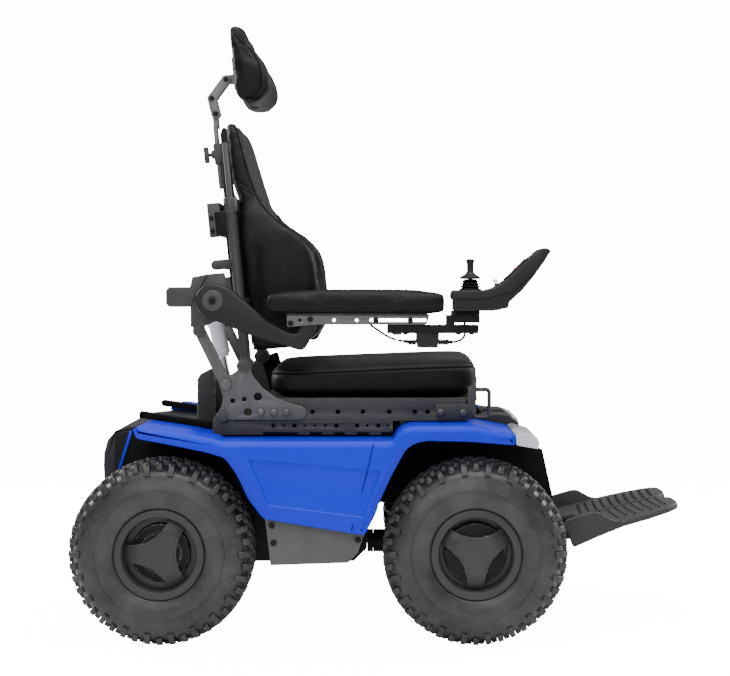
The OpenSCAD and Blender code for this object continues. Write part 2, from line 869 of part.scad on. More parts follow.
// Back cushion: wing depth and centre depth along the posts.
wing_d = [[22, 122], [37.5, 142], [60, 155], [87, 162], [114, 165.5], [154, 167], [182, 166],
  [208, 163], [228, 156], [255.7, 134.6], [279, 108.2], [303.2, 85], [332, 60], [374, 49],
  [417, 40.5], [459.4, 32], [481, 28], [496.8, 23], [502, 18]];
mid_d = [[22, 46], [60, 62], [160, 70], [260, 64], [303.2, 60], [332, 53], [374, 46], [417, 38],
  [459.4, 30], [481, 26], [496.8, 21], [502, 16]];
rear_d = [[345, 17.2], [374, 6], [417, 0], [502, -3]];
half_w = [[22, 204], [60, 216], [154, 218], [258, 214], [303, 200], [340, 178], [417, 170],
  [481, 158], [502, 140]];
back_u = [22, 27, 37.5, 60, 87, 114, 154, 194, 214.8, 236.4, 258.3, 280.6, 303.2, 332, 374, 417,
  459.4, 481, 496.8, 502];
function u_ring(u) =
  let (d = lookup(u, wing_d), c = lookup(u, mid_d),
    w = lookup(u, half_w) + wing_half_w - 218,
    t = min(44, 20 + (d - c) * 0.4),
    b = lookup(u, rear_d) + (u < 25 ? 8 : u > 500 ? 2 : 0),
    e = d - b,
    g = d - c,
    f = 0.5 * g,
    o = [[d, w - 0.45 * t], [d - min(0.08 * f + 2, 0.12 * e), w - 0.14 * t],
      [d - min(0.3 * f + 4, 0.3 * e), w], [b + 0.5 * e, w + 1],
      [b + min(8, 0.25 * e), w - 2], [b, w - 12], [b, w * 0.7], [b, w * 0.35]],
    n = [[d, w - 0.55 * t], [d - 0.08 * f - min(0.5, 0.1 * g), w - 0.86 * t], [d - 0.4 * f, w - t],
      [c + 0.45 * f, w - t - 2], [c + 0.12 * f, w - t - 10], [c + min(0.5, 0.05 * g), w - t - 26],
      [c + min(4, g), w * 0.45], [c + min(2, 0.5 * g), w * 0.25]])
  concat([for (q = o) [q[0], q[1], u]], [[b, 0, u]],
    [for (i = [7 : -1 : 0]) [o[i][0], -o[i][1], u]],
    [for (q = n) [q[0], -q[1], u]], [[c - 2, 0, u]],
    [for (i = [7 : -1 : 0]) [n[i][0], n[i][1], u]]);

module back_cushion() {
  color("#232427")
    at_back()
      skin_u([for (u = back_u) u_ring(u)]);
}

module headrest_knob() {
  color("#18191a")
    at_back() {
      xcyl(0, 446, 4, -58, -42.5);
      box(-64, -54, -6, 6, 429, 463);
    }
}

module headrest_bar() {
  color("#5b5e62")
    at_back()
      difference() {
        union() {
          box(-38, -30, -15, 15, 372, 506);
          box(-38, -25, -5.7, 5.7, 500, 531);
          ycyl(-30, 531.4, 10, -5.7, 5.7);
        }
        ycyl(-30, 531.4, 5 + run, -8, 8);
      }
}

module headrest_link() {
  color("#5b5e62")
    at_back() {
      both()
        prof(6, 12)
          union() {
            bar2(-30, 531.4, -35, 564.5, 10);
            bar2(-35, 564.5, -1.2, 601.9, 9.8);
          }
      ycyl(-30, 531.4, 5, -11, 11);
      ycyl(-35, 564.5, 6, -7, 7);
      ycyl(-1.2, 601.9, 5, -11, 11);
    }
}

// Headrest side outline, forward and up in the frame of the back.
head_pts = [[25.9, 703.7], [38, 704], [50.1, 697.3], [62, 672], [70.2, 648], [80, 632], [92, 612],
  [101, 585], [103.7, 568], [99.3, 551], [77.5, 533.5], [44.7, 536], [29, 544.5], [24.2, 560]];
head_rings = [for (i = [0 : 14])
  let (s = -sin(90 - i * 180 / 14) * 0.9995, e = endr(s, 8), g = 5 * s * s)
  [for (q = head_pts)
    let (cu = 618)
    [24 + (q[0] - 24 + g * (q[0] - 24) / 80 - 10 * (1 - s * s) * (q[0] > 60 ? 1 : 0)) * (0.2 + 0.8 * e),
      s * headrest_w / 2, cu + (q[1] - cu) * (0.3 + 0.7 * e)]]];

module headrest_pad() {
  color("#26272a")
    at_back() {
      skin(head_rings);
      difference() {
        union() {
          box(18, 25, -50, 50, 575, 640);
          box(-1, 19, -5.7, 5.7, 592, 612);
          ycyl(-1.2, 601.9, 10, -5.7, 5.7);
        }
        ycyl(-1.2, 601.9, 5 + run, -8, 8);
      }
    }
}

// Frame of the recline actuator, local z from the lower pivot to the upper one.
module at_actuator() {
  translate([bx1, act_y, bz1])
    rotate([0, -act_a, 0])
      children();
}

module recline_actuator() {
  color("#c9ccd0")
    at_actuator()
      difference() {
        union() {
          ycyl(0, act_l, 11, -15.7, 15.7);
          zcyl(0, 0, 18, act_l - 34, act_l - 13);
          zcyl(0, 0, 15.6, act_l - 14, act_l - 8);
          zcyl(0, 0, 16, 56, act_l - 30);
          zcyl(0, 0, 13, 50, 57);
        }
        ycyl(0, act_l, 6 + run, -30, 30);
        zcyl(0, 0, 7 + run, 40, act_l - 26);
      }
}

module recline_rod() {
  color("#9da1a6")
    at_actuator()
      difference() {
        union() {
          zcyl(0, 0, 7, 8, 80);
          ycyl(0, 0, 12, -13.4, 13.4);
        }
        ycyl(0, 0, 8.2, -30, 30);
      }
}

// Arms

module arm_plates() {
  color("#4d5054")
    both() {
      difference() {
        union() {
          prof(y4, y5)
            difference() {
              union() {
                polygon([[hx - 44.6, hz + 46], [hx - 15, hz + 52], [hx + 18, hz + 55],
                  [hx + 24, hz + 34], [hx + 26, hz - 20], [hx + 12, hz - 36], [qx + 14, qz + 9],
                  [qx, qz + 4], [qx - 17, qz + 7], [hx - 48.5, hz - 12.7], [hx - 90, hz - 12.7],
                  [hx - 96, hz - 6], [hx - 96, hz + 20], [hx - 90, hz + 26.6],
                  [hx - 48.5, hz + 26.6]]);
                translate([qx, qz])
                  circle(r = 13);
              }
            }
          prof(y5 - 1, y6)
            polygon([[hx - 44.6, hz + 46], [hx - 15, hz + 52], [hx - 40, hz + 5],
              [hx - 48.5, hz - 12.7], [hx - 90, hz - 12.7], [hx - 96, hz - 6], [hx - 96, hz + 20],
              [hx - 90, hz + 26.6], [hx - 48.5, hz + 26.6]]);
          ycyl(hx, hz, 20, y5 - 1, y6);
          ycyl(hx, hz, 9, y6 - 1, y6 + 24);
          ycyl(qx, qz, 6, y2 - 0.2, y4 + 1);
          ycyl(qx, qz, 9, y5 - 1, y5 + 4, $fn = 6);
        }
        ycyl(px, pz, 7 + run, y4 - 1, y5 + 9);
      }
    }
}

module arm_links() {
  color("#85888c")
    both()
      prof(y2, y3)
        difference() {
          bar2(lx, lz, qx, qz, 11.5);
          translate([lx, lz])
            circle(r = 6 + run);
          translate([qx, qz])
            circle(r = 6 + run);
        }
}

cast_pts = [[0, 34], [26, 28.6], [58, 1.3], [100.5, -35.7], [140, -58.2], [162.7, -65.6],
  [171, -54.4], [171, -29.5], [200.3, -29.5], [200.3, -53.3], [179, -96.2], [173, -98],
  [88, -73.2], [-16.4, -33.4], [-30, -14]];

module arm(s) {
  on_side(s) {
    difference() {
      union() {
        prof(y6 + 0.3, 289)
          translate([hx, hz])
            union() {
              circle(r = 34);
              polygon(cast_pts);
            }
        ycyl(hx, hz, 20, 288, 292);
        ycyl(hx, hz, 7, 291, 295, $fn = 6);
      }
      ycyl(hx, hz, 9 + run, y6 - 1, y6 + 25);
    }
    difference() {
      union() {
        prof(289, 293)
          translate([hx, hz])
            polygon([[144.8, -25.7], [421.7, -25.7], [416, -46.1], [200, -46.1], [144.8, -50.9]]);
        box(hx + 144.8, hx + 418, arm_y - 18, 293, hz - 29.4, hz - 25.4);
      }
      for (x = [169.7, 236, 280])
        ycyl(hx + x, hz - 37.5, 3.25, 280, 300);
      prof(280, 300)
        translate([hx, hz])
          bar2(308, -37.5, 412, -37.5, 3.2);
    }
    for (p = [[152, -43.5], [190, -35.5], [317, -37.5], [384, -37.5]])
      ycyl(hx + p[0], hz + p[1], 5.5, 293, 297, $fn = 6);
  }
}

module arm_right() {
  color("#3a3c40") {
    arm(-1);
    box(sx - 18, sx + 22, -290, -arm_y + 16, hz - 46.6, hz - 42.6);
    zcyl(sx, -arm_y, 5, hz - 64, hz - 44);
    zcyl(sx, -arm_y, 9, hz - 67, hz - 63.7);
  }
}

module arm_left() {
  color("#3a3c40")
    arm(1);
}

pad_n = 24;
pad_rings = [for (i = [0 : 15])
  let (s = -sin(90 - i * 180 / 15) * 0.9995,
    e = endr(s, 9),
    x = hx + 104.3 + pad_l * (0.5 + s / 2),
    w = (pad_w / 2 - 1.5 * (1 - s * s)) * (0.25 + 0.75 * e))
  [for (j = [0 : pad_n - 1])
    let (a = j * 360 / pad_n,
      y = w * spow(cos(a), 0.4),
      z = sin(a) > 0 ? (pad_h - 17 + 2 * (1 - s * s)) * (0.2 + 0.8 * e) * spow(sin(a), 0.5)
        : -15 * (0.3 + 0.7 * e) * spow(-sin(a), 0.3))
    [x, y * (sin(a) < 0 ? 0.94 : 1), z]]];

module arm_pad(s) {
  color("#232427")
    translate([0, s * arm_y, hz - 10.2])
      skin(pad_rings);
}

module arm_pad_right() {
  arm_pad(-1);
}

module arm_pad_left() {
  arm_pad(1);
}

// Controls on the right arm

module joystick_arm() {
  color("#202124")
    difference() {
      union() {
        box(sx - 19, sx + 159, -arm_y - 15, -arm_y + 15, hz - 63.4, hz - 47);
        box(sx + 96, sx + 112, -arm_y - 15, -arm_y + 15, hz - 48, hz - 28);
        box(sx + 106, sx + 161, -arm_y - 18, -arm_y + 18, hz - 42.6, hz - 19.4);
        for (x = [108, 123, 145])
          ycyl(sx + x, hz - 32, 4.5, -arm_y - 22, -arm_y - 17, $fn = 6);
        for (x = [17, 120, 146])
          zcyl(sx + x, -arm_y, 5, hz - 66.4, hz - 63, $fn = 6);
      }
      zcyl(sx, -arm_y, 5 + run, hz - 80, hz - 40);
    }
}

pod_pts = [[109.7, -19.4], [186.8, -19.4], [214.7, -13.4], [216.5, -2.6], [240.9, 19.8],
  [265.3, 49.3], [286.2, 79], [296.8, 96.4], [293, 101], [282.7, 102], [275.7, 99.9], [253, 80.7],
  [221.8, 51.1], [211.2, 39], [197.3, 31.9], [186.8, 24.9], [171.2, 20.6], [109.7, 20.6],
  [105.2, 14.6], [105.2, 3.6], [109.7, 2.6]];

module joystick_pod() {
  color("#2a2b2d") {
    for (y = [-28, 28])
      ycyl(sx + 197, hz + 29, 1.2, -arm_y + y - 5.5, -arm_y + y + 5.5);
    difference() {
      prof(-arm_y - 41, -arm_y + 41)
        translate([sx, hz])
          polygon(pod_pts);
      zcyl(stick_x, -arm_y, 16.3, stick_z - 14, pod_z + 1);
      xcyl(-arm_y, stick_z, 2 + run, stick_x - 21, stick_x + 21);
      for (y = [-28, 28])
        translate([sx + 197, -arm_y + y, hz + 29])
          sphere(r = 5);
      translate([sx + 234, -arm_y, hz + 62.6])
        rotate([0, -43.4, 0])
          translate([0, 0, -6.5])
            cylinder(r = 7.3, h = 20);
      for (y = [-27, 27])
        translate([sx + 234, -arm_y + y, hz + 62.6])
          rotate([0, -43.4, 0])
            translate([-6, -6, -1])
              cube([34, 12, 8]);
      translate([sx + 248, -arm_y, hz + 76.2])
        rotate([0, -43.4, 0])
          translate([4, -17, -1.2])
            cube([28, 34, 8]);
    }
  }
}

module joystick_gimbal() {
  color("#8c9096")
    translate([stick_x, -arm_y, stick_z])
      difference() {
        union() {
          cylinder(r = 15.4, h = 6, center = true);
          xcyl(0, 0, 2, -20, -12);
          xcyl(0, 0, 2, 12, 20);
        }
        cylinder(r = 9.5, h = 10, center = true);
        rotate([90, 0, 0])
          cylinder(r = 2 + run, h = 40, center = true, $fn = 24);
      }
}

module joystick_stick() {
  color("#1c1d1f")
    translate([stick_x, -arm_y, stick_z]) {
      zcyl(0, 0, 5, -4, 37);
      sphere(r = 6.5);
      ycyl(0, 0, 2, -14, 14, $fn = 24);
      rotate_extrude()
        polygon([[0, 35.7], [20, 35.7], [20, 39], [11, 45], [6.6, 50], [6.6, 66], [8.2, 70],
          [8.2, 73], [5, 75], [0, 75]]);
    }
}

module joystick_boot() {
  color("#151516")
    translate([stick_x, -arm_y, pod_z])
      rotate_extrude()
        polygon([[15.5, 0], [22, 0], [22, 2], [16.5, 4.2], [20.5, 7], [15.5, 9.6], [18.8, 12.2],
          [14, 14.8], [16.6, 17.4], [12, 19.4], [12, 21.4], [9, 21.4], [9, 18.4], [13.4, 16.6],
          [11, 14.4], [15.4, 12], [12.5, 9.4], [17.2, 7], [13.5, 4.4]]);
}

module toggle(y) {
  color("#b9bdc2")
    translate([sx + 197, -arm_y + y, hz + 29])
      difference() {
        rotate([0, -27, 0]) {
          sphere(r = 4.7);
          zcyl(0, 0, 1.6, 0, 12);
          translate([0, 0, 12.5])
            sphere(r = 2.1, $fn = 24);
        }
        ycyl(0, 0, 1.2 + run, -6, 6);
      }
}

module toggle_right() {
  toggle(-28);
}

module toggle_left() {
  toggle(28);
}

module power_button() {
  color("#b03030")
    translate([sx + 234, -arm_y, hz + 62.6])
      rotate([0, -43.4, 0])
        translate([0, 0, -4])
          cylinder(r = 7, h = 7);
}

module junction_box() {
  color("#1c1d1f") {
    box(sx + 37.4, sx + 81.9, -arm_y - 13, -arm_y + 13, hz - 78, hz - 63.4);
    prof(-arm_y - 11, -arm_y + 11)
      translate([sx, hz])
        polygon([[37.4, -77.9], [81.9, -77.9], [79, -91.5], [40, -91.5]]);
    for (x = [[23.8, 38], [81.4, 100]])
      difference() {
        xcyl(-arm_y, hz - 81, 5.5, sx + x[0], sx + x[1]);
        for (i = [0 : 2])
          difference() {
            xcyl(-arm_y, hz - 81, 7, sx + x[0] + 3 + i * 4, sx + x[0] + 5 + i * 4);
            xcyl(-arm_y, hz - 81, 4.2, sx + x[0], sx + x[1]);
          }
        if (x[0] < 30)
          translate([sx + 2.2, -arm_y, hz - 77.6])
            rotate([0, 97.8, 0])
              cylinder(r = 2.25, h = 25);
        else
          xcyl(-arm_y, hz - 81, 2.25, sx + 93, sx + 105);
      }
  }
}

module arm_cable() {
  color("#141415")
    cord([[sx - 52, -286.6, hz - 46], [sx - 40, -284, hz - 55], [sx - 19, -arm_y - 6, hz - 69],
      [sx - 3, -arm_y, hz - 76]], 2.25);
}

// Two runs: pivot to junction box, and junction box round to the pod in two bends.
module control_cable() {
  bend = 28;
  turn = acos(0.6);
  color("#141415")
    translate([sx, -arm_y, hz - 81]) {
      translate([2.2, 0, 3.4])
        rotate([0, 97.8, 0])
          cylinder(r = 2.25, h = 25);
      xcyl(0, 0, 2.25, 93, 106);
      translate([106, 0, 0])
        rotate([-turn, 0, 0])
          translate([0, 0, bend])
            rotate([90, 0, 0])
              rotate([0, 0, -90])
                rotate_extrude(angle = 90)
                  translate([bend, 0])
                    circle(r = 2.25, $fn = 24);
      translate([106 + bend, bend * sin(turn) - 18 * cos(turn), bend * cos(turn) + 18 * sin(turn)])
        rotate([90, 0, 90])
          rotate([0, 0, -turn])
            rotate_extrude(angle = turn)
              translate([18, 0])
                circle(r = 2.25, $fn = 24);
      zcyl(106 + bend, bend * sin(turn) + 18 * (1 - cos(turn)), 2.25,
        bend * cos(turn) + 18 * sin(turn), 61.6);
      zcyl(106 + bend, bend * sin(turn) + 18 * (1 - cos(turn)), 2.9,
        bend * cos(turn) + 18 * sin(turn) - 2, bend * cos(turn) + 18 * sin(turn) + 2);
    }
}

chassis_tub();
batteries();
side_panel_right();
side_panel_left();
rocker_plates();
wheel_arch_liners();
rear_cover();
front_hood();
headlamps();
base_frame();
rear_tie_downs();
power_module();
rear_motors();
chassis_bolts();
front_axle_beam();
kingpins();
front_drive_right();
front_drive_left();
tyre_rear_right();
tyre_rear_left();
tyre_front_right();
tyre_front_left();
rim_rear_right();
rim_rear_left();
rim_front_right();
rim_front_left();
seat_frame();
side_plates();
seat_cushion();
front_tie_downs();
seat_bolts();
legrest_mast();
foot_platform();
back_frame();
back_shell();
back_cushion();
headrest_knob();
headrest_bar();
headrest_link();
headrest_pad();
recline_actuator();
recline_rod();
arm_plates();
arm_links();
arm_right();
arm_left();
arm_pad_right();
arm_pad_left();
joystick_arm();
joystick_pod();
joystick_gimbal();
joystick_stick();
joystick_boot();
toggle_right();
toggle_left();
power_button();
junction_box();
arm_cable();
control_cable();
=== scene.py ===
"""Looks of an all terrain powered wheelchair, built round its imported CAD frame."""

from __future__ import annotations

import json
import logging
import math
from dataclasses import dataclass
from enum import Enum
from typing import Callable, Optional, Sequence, Union

import bmesh
import bpy
import numpy as np
from bmesh.types import BMEdge, BMesh, BMFace, BMVert
from bpy.types import ID, Material, Mesh, Node, NodeSocket, NodeTree, Object
from mathutils import Matrix, Vector
from mathutils.bvhtree import BVHTree
from mathutils.geometry import interpolate_bezier
from mathutils.kdtree import KDTree

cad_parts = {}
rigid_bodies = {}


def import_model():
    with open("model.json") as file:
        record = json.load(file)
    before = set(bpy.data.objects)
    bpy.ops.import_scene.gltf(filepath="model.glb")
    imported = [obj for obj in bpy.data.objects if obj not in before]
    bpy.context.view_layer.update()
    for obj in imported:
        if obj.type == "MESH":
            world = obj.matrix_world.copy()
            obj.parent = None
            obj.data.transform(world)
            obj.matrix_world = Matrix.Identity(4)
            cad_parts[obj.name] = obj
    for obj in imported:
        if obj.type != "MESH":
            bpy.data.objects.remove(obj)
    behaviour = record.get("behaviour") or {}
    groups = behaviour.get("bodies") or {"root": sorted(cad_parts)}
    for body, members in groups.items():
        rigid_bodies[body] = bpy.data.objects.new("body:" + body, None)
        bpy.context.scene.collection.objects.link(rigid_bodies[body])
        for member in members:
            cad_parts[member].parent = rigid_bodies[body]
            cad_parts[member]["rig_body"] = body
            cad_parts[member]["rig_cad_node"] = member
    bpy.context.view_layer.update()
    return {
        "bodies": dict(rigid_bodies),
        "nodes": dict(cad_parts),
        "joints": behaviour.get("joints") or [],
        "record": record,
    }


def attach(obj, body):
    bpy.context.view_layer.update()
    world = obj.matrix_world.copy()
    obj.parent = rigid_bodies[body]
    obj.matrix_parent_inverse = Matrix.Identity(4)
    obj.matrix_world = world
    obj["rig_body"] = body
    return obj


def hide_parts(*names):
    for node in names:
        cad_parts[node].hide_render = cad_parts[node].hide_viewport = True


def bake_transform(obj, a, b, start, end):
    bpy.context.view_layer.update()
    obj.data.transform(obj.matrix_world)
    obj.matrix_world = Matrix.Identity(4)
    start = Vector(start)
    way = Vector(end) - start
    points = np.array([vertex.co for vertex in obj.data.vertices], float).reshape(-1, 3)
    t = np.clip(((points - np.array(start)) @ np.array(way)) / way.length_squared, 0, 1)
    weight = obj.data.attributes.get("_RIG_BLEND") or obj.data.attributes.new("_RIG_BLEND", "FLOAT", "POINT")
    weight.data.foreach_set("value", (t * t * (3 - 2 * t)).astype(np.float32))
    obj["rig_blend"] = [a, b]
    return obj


LOG = logging.getLogger("wheelchair")
MM = 0.001
Point2 = tuple[float, float]
Point3 = tuple[float, float, float]
Outline = tuple[Point2, ...]
Block = tuple[Point3, Point3]
Colour = tuple[float, float, float]
Value = Union[float, Sequence[float], NodeSocket]

REAR_X = -430.0
FRONT_X = 180.0
AXLE_Z = 181.0
MID_Y = 252.5
HUB = (-330.3, 669.4)
RECLINE = (-274.1, 539.1)
BACK_LEAN = math.radians(5.6)
ARM_Y = 270.0
SWING_X = 27.7
DEPTH = 3.4
SIDES = ((-1, "right"), (1, "left"))
FLAT = 0.99
AWAY = 400.0
LEFT = Vector((0, 1, 0))
UP = Vector((0, 0, 1))
WHITE = (1.0, 1.0, 1.0, 1.0)
BACKDROP = 14.0


def srgb(red: float, green: float, blue: float) -> Colour:
    """Turns screen values from 0 to 255 into scene-linear colour, deepened for the soft view transform."""
    return tuple(
        (c / 255 / 12.92) if c <= 10 else ((c / 255 + 0.055) / 1.055) ** DEPTH for c in (red, green, blue)
    )


def grey(level: float, cool: float = 1.0) -> Colour:
    """A grey of a screen level from 0 to 255, a little bluer by another amount."""
    return srgb(level, level, level + cool)


class Pattern(Enum):
    """Relief that a finish carries."""

    MOULDED = "moulded_grain"
    HIDE = "hide_grain"
    WOVEN = "woven_thread"
    BRUSHED = "brushed_lines"
    PEEL = "paint_peel"


class Wiring:
    """Adds nodes to one shader tree and joins them."""

    def __init__(self, tree: NodeTree) -> None:
        """Keeps the tree that is filled."""
        self.tree = tree

    def add(self, kind: str, inputs: Optional[dict] = None, **settings: object) -> Node:
        """Adds one node.

        Args:
            kind: the node's type without its ShaderNode prefix.
            inputs: sockets by name or index, each given a plain value or another socket.
            settings: attributes of the node.

        Returns:
            The new node.
        """
        node = self.tree.nodes.new("ShaderNode" + kind)
        for key, value in settings.items():
            setattr(node, key, value)
        for key, value in (inputs or {}).items():
            if isinstance(value, NodeSocket):
                self.tree.links.new(value, node.inputs[key])
            else:
                node.inputs[key].default_value = value
        return node

    def math(self, operation: str, first: Value, second: Value = 0.0) -> NodeSocket:
        """Adds one sum and returns its result."""
        return self.add("Math", {0: first, 1: second}, operation=operation).outputs[0]

    def mix(self, share: Value, first: Value, second: Value) -> NodeSocket:
        """Mixes two colours and returns the result."""
        return self.add("Mix", {0: share, 6: first, 7: second}, data_type="RGBA").outputs[2]


class GroupShelf:
    """Node groups that several finishes share, each built on first use."""

    def __init__(self) -> None:
        """Starts with an empty shelf."""
        self.made: dict[str, NodeTree] = {}

    def get(self, name: str) -> NodeTree:
        """Returns the group of that name, building it the first time.

        Args:
            name: the group's name.

        Returns:
            The group.
        """
        if name not in self.made:
            self.made[name] = getattr(self, "_" + name)(name)
        return self.made[name]

    @staticmethod
    def _start(
        name: str, inputs: Sequence[tuple[str, str]], outputs: Sequence[tuple[str, str]]
    ) -> tuple[Wiring, Node, Node]:
        """Makes a group with its sockets.

        Args:
            name: the group's name.
            inputs: name and socket kind of each input.
            outputs: name and socket kind of each output.

        Returns:
            The wiring, the group's input node and its output node.
        """
        tree = bpy.data.node_groups.new(name, "ShaderNodeTree")
        for way, sockets in (("INPUT", inputs), ("OUTPUT", outputs)):
            for title, kind in sockets:
                tree.interface.new_socket(title, in_out=way, socket_type="NodeSocket" + kind)
        enter = tree.nodes.new("NodeGroupInput")
        leave = tree.nodes.new("NodeGroupOutput")
        return Wiring(tree), enter, leave

    def _colour_drift(self, name: str) -> NodeTree:
        """Patches of a second colour and of another roughness.

        Args:
            name: the group's name.

        Returns:
            The group.
        """
        wire, enter, leave = self._start(
            name,
            (
                ("Base", "Color"), ("Drift", "Color"), ("Patch", "Float"), ("Roughness", "Float"),
                ("Spread", "Float")
            ),
            (("Colour", "Color"), ("Roughness", "Float")),
        )
        place = wire.add("TexCoord").outputs["Object"]
        cloud = wire.add(
            "TexNoise", {"Vector": place, "Scale": enter.outputs["Patch"], "Detail": 5.0, "Roughness": 0.62}
        )
        share = wire.add("MapRange", {0: cloud.outputs[0], 1: 0.34, 2: 0.68})
        colour = wire.mix(share.outputs[0], enter.outputs["Base"], enter.outputs["Drift"])
        fine = wire.math("MULTIPLY", enter.outputs["Patch"], 7.0)
        smear = wire.add("TexNoise", {"Vector": place, "Scale": fine, "Detail": 3.0})
        swing = wire.math("MULTIPLY", wire.math("SUBTRACT", smear.outputs[0], 0.5), enter.outputs["Spread"])
        rough = wire.math("ADD", swing, enter.outputs["Roughness"])
        wire.tree.links.new(colour, leave.inputs["Colour"])
        wire.tree.links.new(rough, leave.inputs["Roughness"])
        return wire.tree

    def _edge_rub(self, name: str) -> NodeTree:
        """Broken lighter patches on the marked edge strips: wear on most finishes, a painted edge highlight
        on the blue paint.

        Args:
            name: the group's name.

        Returns:
            The group.
        """
        wire, enter, leave = self._start(
            name, (("Colour", "Color"), ("Wear And Highlight Colour", "Color"), ("Amount", "Float")),
            (("Colour", "Color"),),
        )
        place = wire.add("TexCoord").outputs["Object"]
        edge = wire.add("Attribute", attribute_name="rub").outputs["Fac"]
        crumbs = wire.add("TexNoise", {"Vector": place, "Scale": 160.0, "Detail": 4.0})
        broken = wire.add("MapRange", {0: crumbs.outputs[0], 1: 0.4, 2: 0.62}).outputs[0]
        share = wire.math("MULTIPLY", wire.math("MULTIPLY", edge, broken), enter.outputs["Amount"])
        wire.tree.links.new(
            wire.mix(share, enter.outputs["Colour"], enter.outputs["Wear And Highlight Colour"]), leave.inputs["Colour"]
        )
        return wire.tree

    def relief(self, pattern: Pattern) -> NodeTree:
        """Returns the group that draws a pattern's height, building it the first time.

        Args:
            pattern: the pattern.

        Returns:
            The group, with the pattern's cell count as its input.
        """
        name = pattern.value
        if name not in self.made:
            wire, enter, leave = self._start(name, (("Cells", "Float"),), (("Height", "Float"),))
            place = wire.add("TexCoord").outputs["Object"]
            height = getattr(self, "_" + name)(wire, place, enter.outputs["Cells"])
            wire.tree.links.new(height, leave.inputs[0])
            self.made[name] = wire.tree
        return self.made[name]

    @staticmethod
    def _moulded_grain(wire: Wiring, place: Value, cells: Value) -> NodeSocket:
        """Spark-eroded grain of a moulding or powder coat."""
        return wire.add(
            "TexNoise", {"Vector": place, "Scale": cells, "Detail": 2.5, "Roughness": 0.55}
        ).outputs[0]

    @staticmethod
    def _hide_grain(wire: Wiring, place: Value, cells: Value) -> NodeSocket:
        """Pebbled cells and soft creases of upholstery vinyl.

        Args:
            wire: the group's wiring.
            place: the place on the surface.
            cells: how many pebbles lie along a metre.

        Returns:
            The height.
        """
        bend = wire.add("TexNoise", {"Vector": place, "Scale": wire.math("MULTIPLY", cells, 0.4)})
        drag = wire.add(
            "VectorMath", {0: bend.outputs["Color"], "Scale": 0.002}, operation="SCALE"
        ).outputs[0]
        pulled = wire.add("VectorMath", {0: place, 1: drag}, operation="ADD").outputs[0]
        pebble = wire.add(
            "TexVoronoi", {"Vector": pulled, "Scale": cells}, feature="DISTANCE_TO_EDGE"
        ).outputs["Distance"]
        dome = wire.add("MapRange", {0: pebble, 1: 0.0, 2: 0.28}, interpolation_type="SMOOTHSTEP").outputs[0]
        crease = wire.add(
            "TexNoise", {"Vector": place, "Scale": wire.math("MULTIPLY", cells, 0.03), "Detail": 3.0}
        )
        return wire.math("ADD", dome, wire.math("MULTIPLY", crease.outputs[0], 1.6))

    @staticmethod
    def _woven_thread(wire: Wiring, place: Value, cells: Value) -> NodeSocket:
        """Plain weave seen square on from each of the three directions.

        Args:
            wire: the group's wiring.
            place: the place on the surface.
            cells: how many threads lie along a metre.

        Returns:
            The height.
        """
        turns = wire.math("MULTIPLY", cells, math.pi)
        scaled = wire.add("VectorMath", {0: place, "Scale": turns}, operation="SCALE").outputs[0]
        axes = wire.add("SeparateXYZ", {0: scaled}).outputs
        facing = wire.add("SeparateXYZ", {0: wire.add("TexCoord").outputs["Normal"]}).outputs
        wave = [wire.math("SINE", axis) for axis in axes]
        total: Value = 0.5
        for own, one, two in ((0, 1, 2), (1, 0, 2), (2, 0, 1)):
            share = wire.math("POWER", wire.math("ABSOLUTE", facing[own]), 2.0)
            total = wire.math(
                "ADD", total, wire.math("MULTIPLY", wire.math("MULTIPLY", wave[one], wave[two]), share)
            )
        return total

    @staticmethod
    def _brushed_lines(wire: Wiring, place: Value, cells: Value) -> NodeSocket:
        """Fine drawn lines along the length of a bar."""
        drawn = wire.add("VectorMath", {0: place, 1: (0.04, 1.0, 1.0)}, operation="MULTIPLY").outputs[0]
        return wire.add("TexNoise", {"Vector": drawn, "Scale": cells, "Detail": 2.0}).outputs[0]

    @staticmethod
    def _paint_peel(wire: Wiring, place: Value, cells: Value) -> NodeSocket:
        """Long low ripples of sprayed paint."""
        return wire.add("TexNoise", {"Vector": place, "Scale": cells, "Detail": 0.0}).outputs[0]


